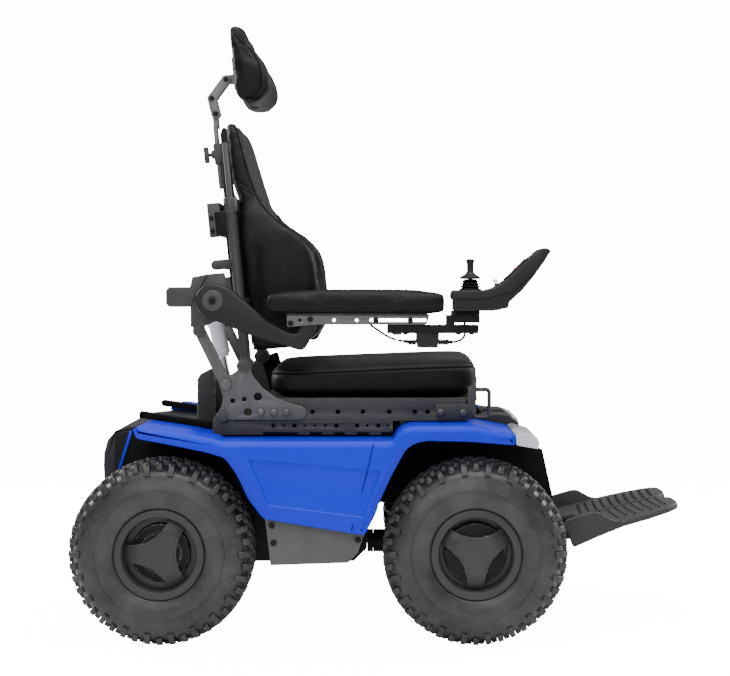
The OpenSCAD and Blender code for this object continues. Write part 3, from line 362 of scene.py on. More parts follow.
@dataclass(frozen=True)
class Finish:
    """One surface finish and the shader that shows it."""

    name: str
    slot: str
    colour: Colour
    drift: Colour
    roughness: float
    spread: float = 0.12
    metallic: float = 0.0
    specular: float = 0.13
    coat: float = 0.0
    sheen: float = 0.0
    pattern: Pattern = Pattern.MOULDED
    cells: float = 900.0
    relief: float = 0.2
    depth: float = 0.0003
    patch: float = 9.0
    rub: float = 0.0
    edge_wear_and_highlight_colour: Colour = (0.35, 0.35, 0.36)

    def material(self, shelf: GroupShelf) -> Material:
        """Builds the material once.

        Args:
            shelf: where the shared node groups are kept.

        Returns:
            The material of this name.
        """
        if self.name in bpy.data.materials:
            return bpy.data.materials[self.name]
        made = bpy.data.materials.new(self.name)
        made.use_nodes = True
        made.node_tree.nodes.clear()
        wire = Wiring(made.node_tree)
        drift = wire.add(
            "Group",
            {
                "Base": (*self.colour, 1), "Drift": (*self.drift, 1), "Patch": self.patch,
                "Roughness": self.roughness, "Spread": self.spread,
            },
            node_tree=shelf.get("colour_drift"),
        )
        rub = wire.add(
            "Group", {"Colour": drift.outputs["Colour"], "Wear And Highlight Colour": (*self.edge_wear_and_highlight_colour, 1), "Amount": self.rub},
            node_tree=shelf.get("edge_rub"),
        )
        relief = wire.add("Group", {"Cells": self.cells}, node_tree=shelf.relief(self.pattern))
        bump = wire.add(
            "Bump", {"Strength": self.relief, "Distance": self.depth, "Height": relief.outputs["Height"]}
        )
        shader = wire.add(
            "BsdfPrincipled",
            {
                "Base Color": rub.outputs["Colour"],
                "Roughness": drift.outputs["Roughness"],
                "Normal": bump.outputs["Normal"],
                "Metallic": self.metallic,
                "Specular IOR Level": self.specular,
                "Coat Weight": self.coat,
                "Coat Roughness": 0.06,
                "Sheen Weight": self.sheen,
                "Sheen Roughness": 0.4,
            },
        )
        wire.add("OutputMaterial", {"Surface": shader.outputs["BSDF"]})
        return made


# Its marked edge strips shift in broken patches towards a lighter, bluer colour that worn paint wouldn't
# show: a painted edge highlight.
BLUE = Finish(
    "royal_blue_gloss", "blue_panel", (0.0, 0.008, 0.46), (0.0, 0.006, 0.4), 0.32, 0.04, coat=0.05,
    specular=0.1, pattern=Pattern.PEEL, cells=45.0, relief=0.05, depth=0.001, patch=3.0, rub=0.12,
    edge_wear_and_highlight_colour=(0.0, 0.03, 0.6),
)
GREY_PLATE = Finish(
    "satin_grey_plate", "grey_plate", grey(112), grey(104), 0.42, metallic=0.25,
    cells=1400.0, relief=0.12, rub=0.5, edge_wear_and_highlight_colour=grey(150, 2),
)
FRAME_GREY = Finish(
    "satin_grey_frame", "frame", grey(92), grey(85), 0.45, metallic=0.2,
    cells=1400.0, relief=0.14, rub=0.45, edge_wear_and_highlight_colour=srgb(125, 125, 128),
)
LINK_GREY = Finish(
    "pale_grey_link", "frame", grey(122, 2), grey(114, 2), 0.4, metallic=0.3,
    cells=1400.0, relief=0.12, rub=0.4, edge_wear_and_highlight_colour=srgb(165, 165, 168),
)
DARK_COAT = Finish(
    "black_powder_coat", "tub", grey(40, 2), grey(33, 2), 0.55, cells=1100.0, relief=0.25,
    rub=0.35, edge_wear_and_highlight_colour=grey(82, 2),
)
LINER = Finish("matt_black_liner", "liner", grey(19), grey(15), 0.75, cells=500.0, relief=0.35)
COVER = Finish(
    "grained_cover", "cover", srgb(72, 73, 76), srgb(64, 65, 68), 0.5, cells=800.0, relief=0.35,
    rub=0.3, edge_wear_and_highlight_colour=srgb(105, 105, 108),
)
LAMP = Finish(
    "pale_lamp", "lamp", srgb(190, 192, 196), srgb(176, 178, 183), 0.22, 0.06, coat=0.7, cells=120.0,
    relief=0.05
)
BLACK_PLASTIC = Finish(
    "moulded_plastic", "black_plastic", grey(58), grey(50), 0.44, cells=1300.0, relief=0.3,
    rub=0.35, edge_wear_and_highlight_colour=grey(88, 2),
)
PLATFORM = Finish(
    "platform_plastic", "black_plastic", grey(86, 2), grey(76, 2), 0.5, relief=0.35,
    rub=0.4, edge_wear_and_highlight_colour=grey(120, 2),
)
GRIP = Finish("grip_rubber", "black_plastic", grey(24), grey(20), 0.7, cells=700.0, relief=0.3)
MODULE = Finish("module_case", "module", grey(86), grey(78), 0.5, relief=0.35, rub=0.3)
MOTOR = Finish(
    "cast_motor", "motor", grey(62, 2), grey(52, 2), 0.5, metallic=0.5, cells=700.0, relief=0.3, rub=0.3
)
RIM = Finish(
    "rim_satin", "rim", grey(88), grey(82), 0.4, metallic=0.35, cells=1200.0, relief=0.12,
    rub=0.3, edge_wear_and_highlight_colour=srgb(125, 125, 128),
)
TYRE = Finish(
    "tyre_rubber", "tyre", grey(84, 0), grey(60, 0), 0.38, 0.2, specular=0.26, cells=420.0, relief=0.22,
    patch=16.0, rub=0.25, edge_wear_and_highlight_colour=grey(112, 0),
)
TREAD = Finish(
    "tread_rubber", "tyre", grey(48, 0), grey(40, 0), 0.5, 0.2, cells=420.0, relief=0.3, patch=20.0
)
ZINC = Finish("zinc_bolt", "bolt", grey(120, 2), grey(100, 2), 0.38, metallic=0.8, relief=0.1)
OXIDE = Finish("black_oxide", "dark_bolt", grey(58, 2), grey(48, 2), 0.42, metallic=0.6, relief=0.1)
GROUND = Finish(
    "ground_steel", "pin", grey(190, 2), grey(170, 2), 0.22, metallic=1.0,
    pattern=Pattern.BRUSHED, cells=1500.0, relief=0.1,
)
# The actuator tube is chrome; this near-white, non-metallic colour stands in for its bright reflection of the
# studio: a painted reflection.
TUBE = Finish(
    "tube_painted_reflection", "actuator", srgb(228, 229, 231), srgb(214, 215, 218), 0.3, 0.06, coat=0.4, cells=300.0,
    relief=0.04
)
CAST = Finish(
    "dark_casting", "cast_grey", grey(66, 2), grey(58, 2), 0.42, metallic=0.25, relief=0.22,
    rub=0.3, edge_wear_and_highlight_colour=grey(110, 2),
)
BRACKET = Finish(
    "bracket_grey", "cast_grey", grey(92, 2), grey(84, 2), 0.44, metallic=0.25, cells=1200.0, relief=0.15,
    rub=0.4, edge_wear_and_highlight_colour=grey(140, 2),
)
SHELL = Finish("back_shell_plastic", "shell", grey(30), grey(26), 0.6, cells=700.0, relief=0.35)
RUBBER = Finish("boot_rubber", "rubber", grey(28), grey(23), 0.6, relief=0.25)
CABLE = Finish("cable_sheath", "rubber", grey(40), grey(34), 0.5, cells=700.0)
CHROME = Finish(
    "bright_switch", "switch", srgb(200, 201, 204), srgb(180, 181, 184), 0.12, 0.05, metallic=1.0,
    cells=600.0, relief=0.03
)
RED = Finish(
    "stop_button", "button", srgb(150, 30, 26), srgb(132, 24, 20), 0.3, 0.06, coat=0.3, cells=300.0,
    relief=0.08
)
SCREEN = Finish(
    "dark_screen", "black_plastic", srgb(14, 15, 18), srgb(12, 13, 16), 0.1, 0.03, coat=0.9, cells=60.0,
    relief=0.01
)
BATTERY = Finish("battery_case", "battery", srgb(62, 64, 68), srgb(54, 56, 60), 0.5, cells=700.0, relief=0.35)
VINYL = Finish(
    "black_vinyl", "vinyl", grey(40), grey(34), 0.42, 0.14, specular=0.1,
    pattern=Pattern.HIDE, cells=420.0, relief=0.35, depth=0.0005, patch=14.0,
)
SIDE_VINYL = Finish(
    "boxing_vinyl", "vinyl", grey(92), grey(82), 0.48, 0.14, specular=0.12,
    pattern=Pattern.HIDE, cells=420.0, relief=0.35, depth=0.0005, patch=14.0,
)
FABRIC = Finish(
    "cover_fabric", "vinyl", grey(31), grey(27), 0.78, 0.1, sheen=0.12, specular=0.3,
    pattern=Pattern.WOVEN, cells=420.0, relief=0.5, depth=0.0006, patch=12.0,
)
PIPING = Finish("seam_piping", "vinyl", grey(58, 2), grey(50, 2), 0.5, pattern=Pattern.HIDE)


def rounded(points: Sequence[Point2], radius: float, steps: int = 4) -> list[Point2]:
    """Rounds the corners of a closed outline.

    Args:
        points: the outline's corners.
        radius: how far along each side a corner's curve starts.
        steps: points in each corner's curve.

    Returns:
        The outline with its corners drawn as curves.
    """
    corners = [Vector(p) for p in points]
    made: list[Point2] = []
    for i, corner in enumerate(corners):
        before, after = corners[i - 1] - corner, corners[(i + 1) % len(corners)] - corner
        start = corner + before.normalized() * min(radius, before.length * 0.45)
        stop = corner + after.normalized() * min(radius, after.length * 0.45)
        for k in range(steps + 1):
            t = k / steps
            made.append(tuple((1 - t) ** 2 * start + 2 * t * (1 - t) * corner + t * t * stop))
    return made


def arc(centre: Point2, radius: float, start: float, stop: float, steps: int) -> list[Point2]:
    """Points on an arc, with its angles in degrees."""
    angles = (math.radians(start + (stop - start) * i / steps) for i in range(steps + 1))
    return [(centre[0] + radius * math.cos(a), centre[1] + radius * math.sin(a)) for a in angles]


def hole(x: float, z: float, radius: float, steps: int = 20) -> list[Point2]:
    """Outline of a round hole."""
    return arc((x, z), radius, 0.0, 360.0 - 360.0 / steps, steps - 1)


def slot_outline(first: Point2, second: Point2, radius: float) -> list[Point2]:
    """Outline of a slot with round ends between two points."""
    turn = math.degrees(math.atan2(second[1] - first[1], second[0] - first[0]))
    return arc(second, radius, turn - 90, turn + 90, 8) + arc(first, radius, turn + 90, turn + 270, 8)


def turned(degrees: float, axis: str) -> Matrix:
    """A turn about one axis."""
    return Matrix.Rotation(math.radians(degrees), 4, axis)


def moved(x: float, y: float, z: float) -> Matrix:
    """A shift along the three axes."""
    return Matrix.Translation((x, y, z))


def mirrored(side: int) -> Matrix:
    """Keeps the left side as drawn, or mirrors it to the right."""
    return Matrix.Diagonal((1, side, 1, 1))


def verts_of(faces: Sequence[BMFace]) -> list[BMVert]:
    """Each corner of some faces once."""
    return list(dict.fromkeys(v for f in faces for v in f.verts))


def edges_of(faces: Sequence[BMFace]) -> list[BMEdge]:
    """Each edge of some faces once."""
    return list(dict.fromkeys(e for f in faces for e in f.edges))


def placed(name: str, data: ID) -> Object:
    """Sets a new object in the scene.

    Args:
        name: the object's name.
        data: its mesh, curve, light or camera.

    Returns:
        The object.
    """
    made = bpy.data.objects.new(name, data)
    bpy.context.scene.collection.objects.link(made)
    return made


class Shape:
    """A mesh under construction, measured in millimetres."""

    def __init__(self) -> None:
        """Starts with an empty mesh that has a layer marking edge strips for lightening: wear, and a painted
        edge highlight on the blue paint.
        """
        self.bm = bmesh.new()
        self.bm.faces.layers.float.new("rub")

    def _new_faces(self, before: set[BMFace]) -> list[BMFace]:
        """Faces made since a set was taken."""
        return [f for f in self.bm.faces if f not in before]

    def loop(self, points: Sequence[Point3], closed: bool = True) -> list[BMEdge]:
        """Adds a chain of edges through the points.

        Args:
            points: the points, in order.
            closed: joins the last point to the first.

        Returns:
            The edges.
        """
        verts = [self.bm.verts.new(p) for p in points]
        ends = verts[1:] + verts[:1] if closed else verts[1:]
        return [self.bm.edges.new(pair) for pair in zip(verts, ends)]

    def lathe(self, profile: Sequence[Point2], steps: int, closed: bool = True) -> list[BMFace]:
        """Turns a profile about the Y axis.

        Args:
            profile: radius and Y of each point.
            steps: faces round the axis.
            closed: whether the profile's last point joins its first.

        Returns:
            The faces of the turned skin.
        """
        before = set(self.bm.faces)
        edges = self.loop([(r, y, 0.0) for r, y in profile], closed)
        verts = [e.verts[0] for e in edges] + ([] if closed else [edges[-1].verts[1]])
        bmesh.ops.spin(
            self.bm, geom=verts + edges, cent=(0, 0, 0), axis=(0, 1, 0), dvec=(0, 0, 0),
            angle=math.tau, steps=steps, use_merge=True, use_duplicate=False,
        )
        made = self._new_faces(before)
        bmesh.ops.remove_doubles(self.bm, verts=verts_of(made), dist=1e-4)
        made = self._new_faces(before)
        bmesh.ops.recalc_face_normals(self.bm, faces=made)
        return made

    def _draw_out(self, before: set[BMFace], along: Point3) -> list[BMFace]:
        """Draws the flat faces made since a set was taken out along a direction.

        Args:
            before: the faces that are left alone.
            along: how far to draw, and which way.

        Returns:
            The faces of the closed bar.
        """
        out = bmesh.ops.extrude_face_region(self.bm, geom=self._new_faces(before))["geom"]
        bmesh.ops.translate(self.bm, vec=along, verts=[g for g in out if isinstance(g, BMVert)])
        made = self._new_faces(before)
        bmesh.ops.recalc_face_normals(self.bm, faces=made)
        return made

    def bar(self, points: Sequence[Point3], along: Point3) -> list[BMFace]:
        """Draws one flat outline out along a direction.

        Args:
            points: the outline.
            along: how far to draw, and which way.

        Returns:
            The faces of the bar.
        """
        before = set(self.bm.faces)
        self.bm.faces.new([e.verts[0] for e in self.loop(points)])
        return self._draw_out(before, along)

    def top(self) -> BMFace:
        """The largest face that looks along Y."""
        return max((f for f in self.bm.faces if f.normal.y > FLAT), key=lambda f: f.calc_area())

    def plate(
        self, outlines: Sequence[Sequence[Point2]], low: float, high: float, edge: float = 0.0, steps: int = 2
    ) -> list[BMFace]:
        """Draws a side outline, with its holes after it, out along Y.

        Args:
            outlines: X and Z of the outline's points, then of each hole's.
            low: lowest Y.
            high: highest Y.
            edge: rounding of the edges.
            steps: faces across the rounding.

        Returns:
            The faces of the plate.
        """
        before = set(self.bm.faces)
        loops = [self.loop([(x, low, z) for x, z in outline]) for outline in outlines]
        if len(loops) == 1:
            self.bm.faces.new([e.verts[0] for e in loops[0]])
        else:
            bmesh.ops.triangle_fill(
                self.bm, edges=[e for l in loops for e in l], use_beauty=True, use_dissolve=False
            )
        made = self._draw_out(before, (0, high - low, 0))
        if edge > 0:
            self.soften(made, edge, steps)
        return self._new_faces(before)

    def soften(
        self, faces: Sequence[BMFace], width: float, steps: int = 2, angle: float = 30.0, clamp: bool = True
    ) -> None:
        """Rounds the sharp edges of some faces and marks the new strips for lightening: wear, and a painted
        edge highlight on the blue paint.

        Args:
            faces: the faces.
            width: width of the rounding.
            steps: faces across the rounding.
            angle: edges sharper than this are rounded, in degrees.
            clamp: keeps neighbouring roundings apart.
        """
        limit = math.radians(angle)
        edges = [e for e in edges_of(faces) if e.is_manifold and e.calc_face_angle(0.0) > limit]
        if not edges:
            return
        done = bmesh.ops.bevel(
            self.bm, geom=edges, offset=width, offset_type="OFFSET", profile_type="SUPERELLIPSE",
            segments=steps, profile=0.5, affect="EDGES", clamp_overlap=clamp, material=-1, loop_slide=True,
        )
        self.mark(done["faces"])

    def mark(self, strips: Sequence[BMFace]) -> None:
        """Marks some edge strips for lightening: wear, and a painted edge highlight on the blue paint."""
        for strip in strips:
            strip[self.bm.faces.layers.float["rub"]] = 1.0

    def block(self, size: Point3, place: Matrix, edge: float = 0.0, steps: int = 2) -> list[BMFace]:
        """Adds a rounded block with its centre at a place.

        Args:
            size: length along each axis.
            place: where its centre goes and how it is turned.
            edge: rounding of the edges.
            steps: faces across the rounding.

        Returns:
            The faces of the block.
        """
        before = set(self.bm.faces)
        bmesh.ops.create_cube(self.bm, size=1.0, matrix=place @ Matrix.Diagonal((*size, 1.0)))
        if edge > 0:
            self.soften(self._new_faces(before), edge, steps)
        return self._new_faces(before)

    def repeat(self, faces: Sequence[BMFace], count: int) -> None:
        """Sets copies of some faces evenly round the Y axis.

        Args:
            faces: the faces.
            count: how many there are in all.
        """
        geom = [*faces, *edges_of(faces), *verts_of(faces)]
        bmesh.ops.spin(
            self.bm, geom=geom, cent=(0, 0, 0), axis=(0, 1, 0), dvec=(0, 0, 0),
            angle=math.tau * (count - 1) / count, steps=count - 1, use_merge=False, use_duplicate=True,
        )

    def roll_over(self, face: BMFace, radius: float, steps: int) -> None:
        """Rounds a flat face's whole edge over a quarter circle by insets that climb.

        Args:
            face: the flat face, which ends up inside the roll.
            radius: the roll's radius.
            steps: insets round the quarter circle.
        """
        for k in range(steps):
            one, two = math.pi / 2 * k / steps, math.pi / 2 * (k + 1) / steps
            bmesh.ops.inset_region(
                self.bm, faces=[face], thickness=radius * (math.cos(one) - math.cos(two)),
                depth=radius * (math.sin(two) - math.sin(one)), use_even_offset=True,
            )

    def _stand(self, before: set[BMFace], foot: Vector, way: Vector) -> None:
        """Stands the faces made since a set was taken on a foot, along a direction."""
        way_turn = LEFT.rotation_difference(way).to_matrix().to_4x4()
        self.turn(self._new_faces(before), Matrix.Translation(foot) @ way_turn)

    def post(self, foot: Vector, radius: float, height: float, way: Vector) -> None:
        """Adds a round pin with broken edges, from its foot along a direction.

        Args:
            foot: centre of the foot.
            radius: radius of the pin.
            height: height of the pin.
            way: direction of the pin.
        """
        before = set(self.bm.faces)
        edge = min(0.8, radius * 0.2)
        self.lathe(
            (
                (0.0, 0.0), (radius - edge, 0.0), (radius, edge), (radius, height - edge),
                (radius - edge, height), (0.0, height)
            ),
            28, closed=False,
        )
        self._stand(before, foot, way)

    def screw(self, foot: Vector, radius: float, height: float, way: Vector) -> None:
        """Adds a socket screw's head on a surface, facing along a direction.

        Args:
            foot: centre of the head's foot.
            radius: radius of the head.
            height: height of the head.
            way: direction that the head faces.
        """
        before = set(self.bm.faces)
        socket = radius * 0.48
        self.lathe(
            (
                (radius, 0.0), (radius, height * 0.62), (radius * 0.9, height * 0.9), (radius * 0.72, height),
                (socket, height), (socket * 0.95, height * 0.45), (0.0, height * 0.4),
            ),
            24, closed=False,
        )
        made = self._new_faces(before)
        rim = [e for e in edges_of(made) if e.is_boundary]
        bmesh.ops.holes_fill(self.bm, edges=rim, sides=0)
        self._stand(before, foot, way)

    def turn(self, faces: Sequence[BMFace], place: Matrix) -> None:
        """Moves some faces by a matrix."""
        bmesh.ops.transform(self.bm, matrix=place, verts=verts_of(faces))

    def transform(self, place: Matrix) -> "Shape":
        """Moves the whole mesh by a matrix, and turns it right side out again if the matrix mirrors it.

        Args:
            place: the matrix.

        Returns:
            The shape itself.
        """
        bmesh.ops.transform(self.bm, matrix=place, verts=self.bm.verts[:])
        if place.determinant() < 0:
            bmesh.ops.reverse_faces(self.bm, faces=self.bm.faces[:])
        return self

    def mesh(self, name: str, smooth: float) -> Mesh:
        """Closes the work.

        Args:
            name: the mesh's name.
            smooth: largest angle that is shaded smooth, in degrees.

        Returns:
            The finished mesh, in metres.
        """
        bmesh.ops.scale(self.bm, vec=(MM, MM, MM), verts=self.bm.verts[:])
        made = bpy.data.meshes.new(name)
        self.bm.to_mesh(made)
        self.bm.free()
        made.shade_smooth()
        made.set_sharp_from_angle(angle=math.radians(smooth))
        return made


class Workshop:
    """Makes objects of shapes, dresses them and sets them on their bodies."""

    def __init__(self, frame: dict) -> None:
        """Keeps the frame's nodes and an empty group shelf.
        """
        self.nodes: dict[str, Object] = frame["nodes"]
        self.shelf = GroupShelf()
        self.count = 0

    def dress(self, piece: Object, *finishes: Finish) -> None:
        """Gives a piece its finishes, one for each material index.

        Args:
            piece: the piece.
            finishes: its finishes.
        """
        piece.data.materials.clear()
        for finish in finishes:
            piece.data.materials.append(finish.material(self.shelf))

    def add(
        self, mesh: Mesh, name: str, body: str, finishes: Sequence[Finish], replaces: Sequence[str] = ()
    ) -> Object:
        """Sets a finished mesh in the scene.

        Args:
            mesh: the mesh, in metres in the shared frame.
            name: the piece's name.
            body: the body that it rides on.
            finishes: its finishes by material index.
            replaces: CAD nodes that it stands for.

        Returns:
            The new object.
        """
        piece = placed(name, mesh)
        self.dress(piece, *finishes)
        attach(piece, body)
        if replaces:
            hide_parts(*replaces)
        self.count += 1
        LOG.info("%s rides on %s with %d faces", name, body, len(mesh.polygons))
        return piece

    def put(
        self, shape: Shape, name: str, body: str, finish: Finish, replaces: Sequence[str] = (),
        smooth: float = 35.0
    ) -> Object:
        """Closes a shape of one finish and sets it in the scene."""
        return self.add(shape.mesh(name, smooth), name, body, (finish,), replaces)

    def copy_node(self, node: str) -> BMesh:
        """A merged copy of a CAD node's mesh, in metres.

        Args:
            node: the CAD node.

        Returns:
            The copy.
        """
        copy = bmesh.new()
        copy.from_mesh(self.nodes[node].data)
        bmesh.ops.remove_doubles(copy, verts=copy.verts[:], dist=2e-6)
        return copy

    def rounded_copy(
        self, node: str, edge: float, steps: int, trim: Optional[Callable[[BMesh], None]] = None
    ) -> Shape:
        """A copy of a CAD node with its flat facets merged and its sharp edges rounded.

        Args:
            node: the CAD node.
            edge: rounding of the edges, in millimetres.
            steps: faces across the rounding.
            trim: cuts away what isn't wanted, if anything.

        Returns:
            The copy, in millimetres.
        """
        shape = Shape()
        shape.bm.free()
        shape.bm = self.copy_node(node)
        if trim:
            trim(shape.bm)
        shape.bm.faces.layers.float.new("rub")
        bmesh.ops.scale(shape.bm, vec=(1 / MM, 1 / MM, 1 / MM), verts=shape.bm.verts[:])
        bmesh.ops.dissolve_limit(
            shape.bm, angle_limit=math.radians(0.5), use_dissolve_boundaries=False, verts=shape.bm.verts[:],
            edges=shape.bm.edges[:], delimit={"NORMAL"},
        )
        shape.soften(shape.bm.faces[:], edge, steps, 32.0, False)
        return shape


@dataclass(frozen=True)
class Lug:
    """One row of tread blocks: its section as radius and Y, half its length, and its place in the pitch."""

    section: Outline
    half: float
    phase: float
    pitches: int


@dataclass
class Wheel:
    """A knobbly tyre on a three-spoke rim."""

    place: str
    centre_x: float
    side: int
    spoke_turn: float
    ring: float
    steps: int = 132
    profile: Outline = (
        (78, 57.2), (83, 58.6), (87.6, 62), (89.5, 65), (92.5, 67.2), (98, 69.6), (106, 71.4), (115, 72.3),
        (121.5, 72), (123.6, 71.6), (124.4, 72.8), (126.6, 73), (127.6, 71.6), (129.2, 71.3), (134, 70.4),
        (142, 68.2), (150, 65.2), (157, 60.8), (163, 54.6), (167.5, 46), (170.4, 35), (172, 21), (172.6, 7),
    )
    lugs: tuple[Lug, ...] = (
        Lug(((166, 2.5), (180.5, 3.6), (180.5, 15.5), (166, 16.8)), 6.2, 0.0, 44),
        Lug(((165, 20.5), (180, 21.6), (178.6, 35), (164, 36.4)), 6.4, 0.5, 44),
        Lug(((163, 40), (178.9, 41), (175.6, 54), (164.5, 62.5), (154, 67.6), (152, 63)), 6.0, 0.0, 22),
        Lug(((163, 40), (178.9, 41), (175.6, 54), (166.5, 60.5), (160, 58)), 6.0, 0.5, 22),
    )
    lug_root: float = 170.0
    lug_taper: float = 0.86
    lug_edge: float = 0.9
    far_phase: float = 0.25
    rib_count: int = 84
    rib_starts: Point3 = (130.5, 134.0, 139.0)
    rib_stop: float = 150.5
    rib_root: float = 0.6
    rib_rise: float = 0.9
    rib_half: float = 0.55
    barrel: Outline = (
        (72.6, 65.4), (73.4, 66.3), (84.8, 66.5), (86.2, 66), (87, 64.6), (87, 62.6), (84, 60.6),
        (77.4, 58.6), (76.8, 55), (76.8, -55), (77.4, -58.6), (87, -62.6), (87, -65.6), (86, -66.5),
        (72, -66.5), (70.6, -62), (70, -55), (70, 44), (70.6, 58), (71.6, 63.4),
    )
    hub_disc: Outline = ((33, 46), (33, 53), (31, 55), (0, 55), (0, 46))
    hollow: Point3 = (117.0, 84.5, 21.5)
    star_y: Point2 = (50.0, 60.0)
    spoke: tuple[Point3, ...] = (
        (30, 24, 58.6), (40, 19.6, 57.8), (50, 17.8, 55.6), (60, 17.6, 51.8), (71.5, 19, 46.6),
    )
    spoke_thick: float = 9.0
    dust_y: Point3 = (30.0, 33.4, 34.0)
    dust_outer: float = 70.4

    def _tread(self, shape: Shape) -> None:
        """Adds the block rows to both halves of the tyre.

        Args:
            shape: the tyre.
        """
        for side in (1, -1):
            for lug in self.lugs:
                before = set(shape.bm.faces)
                made = shape.bar([(r, side * y, -lug.half) for r, y in lug.section], (0, 0, 2 * lug.half))
                for vert in verts_of(made):
                    if vert.co.x > self.lug_root:
                        vert.co.z *= self.lug_taper
                shape.soften(made, self.lug_edge, 1)
                made = shape._new_faces(before)
                offset = lug.phase + (self.far_phase if side < 0 else 0.0)
                shape.turn(made, turned(360.0 / lug.pitches * offset, "Y"))
                for face in made:
                    face.material_index = 1
                shape.repeat(made, lug.pitches)

    def _sidewall_ribs(self, shape: Shape) -> None:
        """Adds the uneven fine radial ribs of the sidewall.

        Args:
            shape: the tyre.
        """
        span = self.rib_count
        for side in (1, -1):
            for i in (i for i in range(span) if i % 7 != 3):
                inner, outer = self.rib_starts[(i * 5) % 3], self.rib_stop
                low, high = self._wall(inner), self._wall(outer)
                points = (
                    (inner, low - self.rib_root), (outer, high - self.rib_root),
                    (outer, high + self.rib_rise), (inner, low + self.rib_rise * 0.6),
                )
                made = shape.bar(
                    [(r, side * y, -self.rib_half) for r, y in points], (0, 0, 2 * self.rib_half)
                )
                shape.turn(made, turned((i + 0.28 * math.sin(i * 2.4)) * 360.0 / span, "Y"))

    @staticmethod
    def _wall(radius: float) -> float:
        """How far out the sidewall stands at one radius."""
        return 71.2 - 6.0 * ((radius - 129.0) / 21.0) ** 1.5

    def tyre(self) -> Shape:
        """Carcass, tread blocks and sidewall ribs, about the origin.

        Returns:
            The tyre.
        """
        shape = Shape()
        shape.lathe([*self.profile, *((r, -y) for r, y in reversed(self.profile))], self.steps)
        self._tread(shape)
        self._sidewall_ribs(shape)
        return shape

    def rim(self) -> Shape:
        """Barrel with its lips, three spokes and the centre plate, about the origin.

        Returns:
            The rim.
        """
        shape = Shape()
        shape.lathe(self.barrel, 96)
        shape.lathe(self.hub_disc, 48, closed=False)
        low, edge, high = self.dust_y
        inner, outer = self.ring, self.dust_outer
        shape.lathe(((inner, low), (inner, edge), (inner + 0.8, high), (outer, high), (outer, low)), 72)
        outline: list[Point2] = []
        away, radius, half = self.hollow
        for i in range(3):
            gap = math.radians(60 + 120 * i)
            facing = 180 + 60 + 120 * i
            outline += arc(
                (away * math.cos(gap), away * math.sin(gap)), radius, facing + half, facing - half, 14
            )
        made = shape.plate([outline], *self.star_y, 1.6, 3)
        face = [f for f in made if abs(f.normal.y) > FLAT and f.calc_center_median().y > self.star_y[1] - 0.5]
        bmesh.ops.inset_region(shape.bm, faces=face, thickness=3.2, depth=0.0, use_even_offset=True)
        bmesh.ops.inset_region(shape.bm, faces=face, thickness=0.6, depth=0.9, use_even_offset=True)
        for i in range(3):
            before = set(shape.bm.faces)
            rings = []
            for r, w, y in self.spoke:
                low = y - self.spoke_thick
                rings.append(shape.loop([(r, y, -w), (r, y, w), (r, low, w), (r, low, -w)]))
            for one, two in zip(rings, rings[1:]):
                bmesh.ops.bridge_loops(shape.bm, edges=one + two)
            bmesh.ops.holes_fill(shape.bm, edges=rings[0] + rings[-1], sides=4)
            spoke = shape._new_faces(before)
            bmesh.ops.recalc_face_normals(shape.bm, faces=spoke)
            shape.soften(spoke, 2.0, 2)
            shape.turn(shape._new_faces(before), turned(120 * i, "Y"))
        return shape

    def build(self, shop: Workshop) -> None:
        """Sets the tyre and the rim on the wheel's body.

        Args:
            shop: the workshop.
        """
        body = "wheel_" + self.place
        seat = moved(self.centre_x, self.side * MID_Y, AXLE_Z) @ mirrored(self.side)
        tyre = self.tyre().transform(seat).mesh("tyre_" + self.place + "_dressed", 40.0)
        shop.add(tyre, "knobbly_tyre_" + self.place, body, (TYRE, TREAD), ("tyre_" + self.place,))
        spun = turned(self.spoke_turn, "Y")
        shop.put(
            self.rim().transform(seat @ spun), "spoked_rim_" + self.place, body, RIM, ("rim_" + self.place,),
            40.0
        )


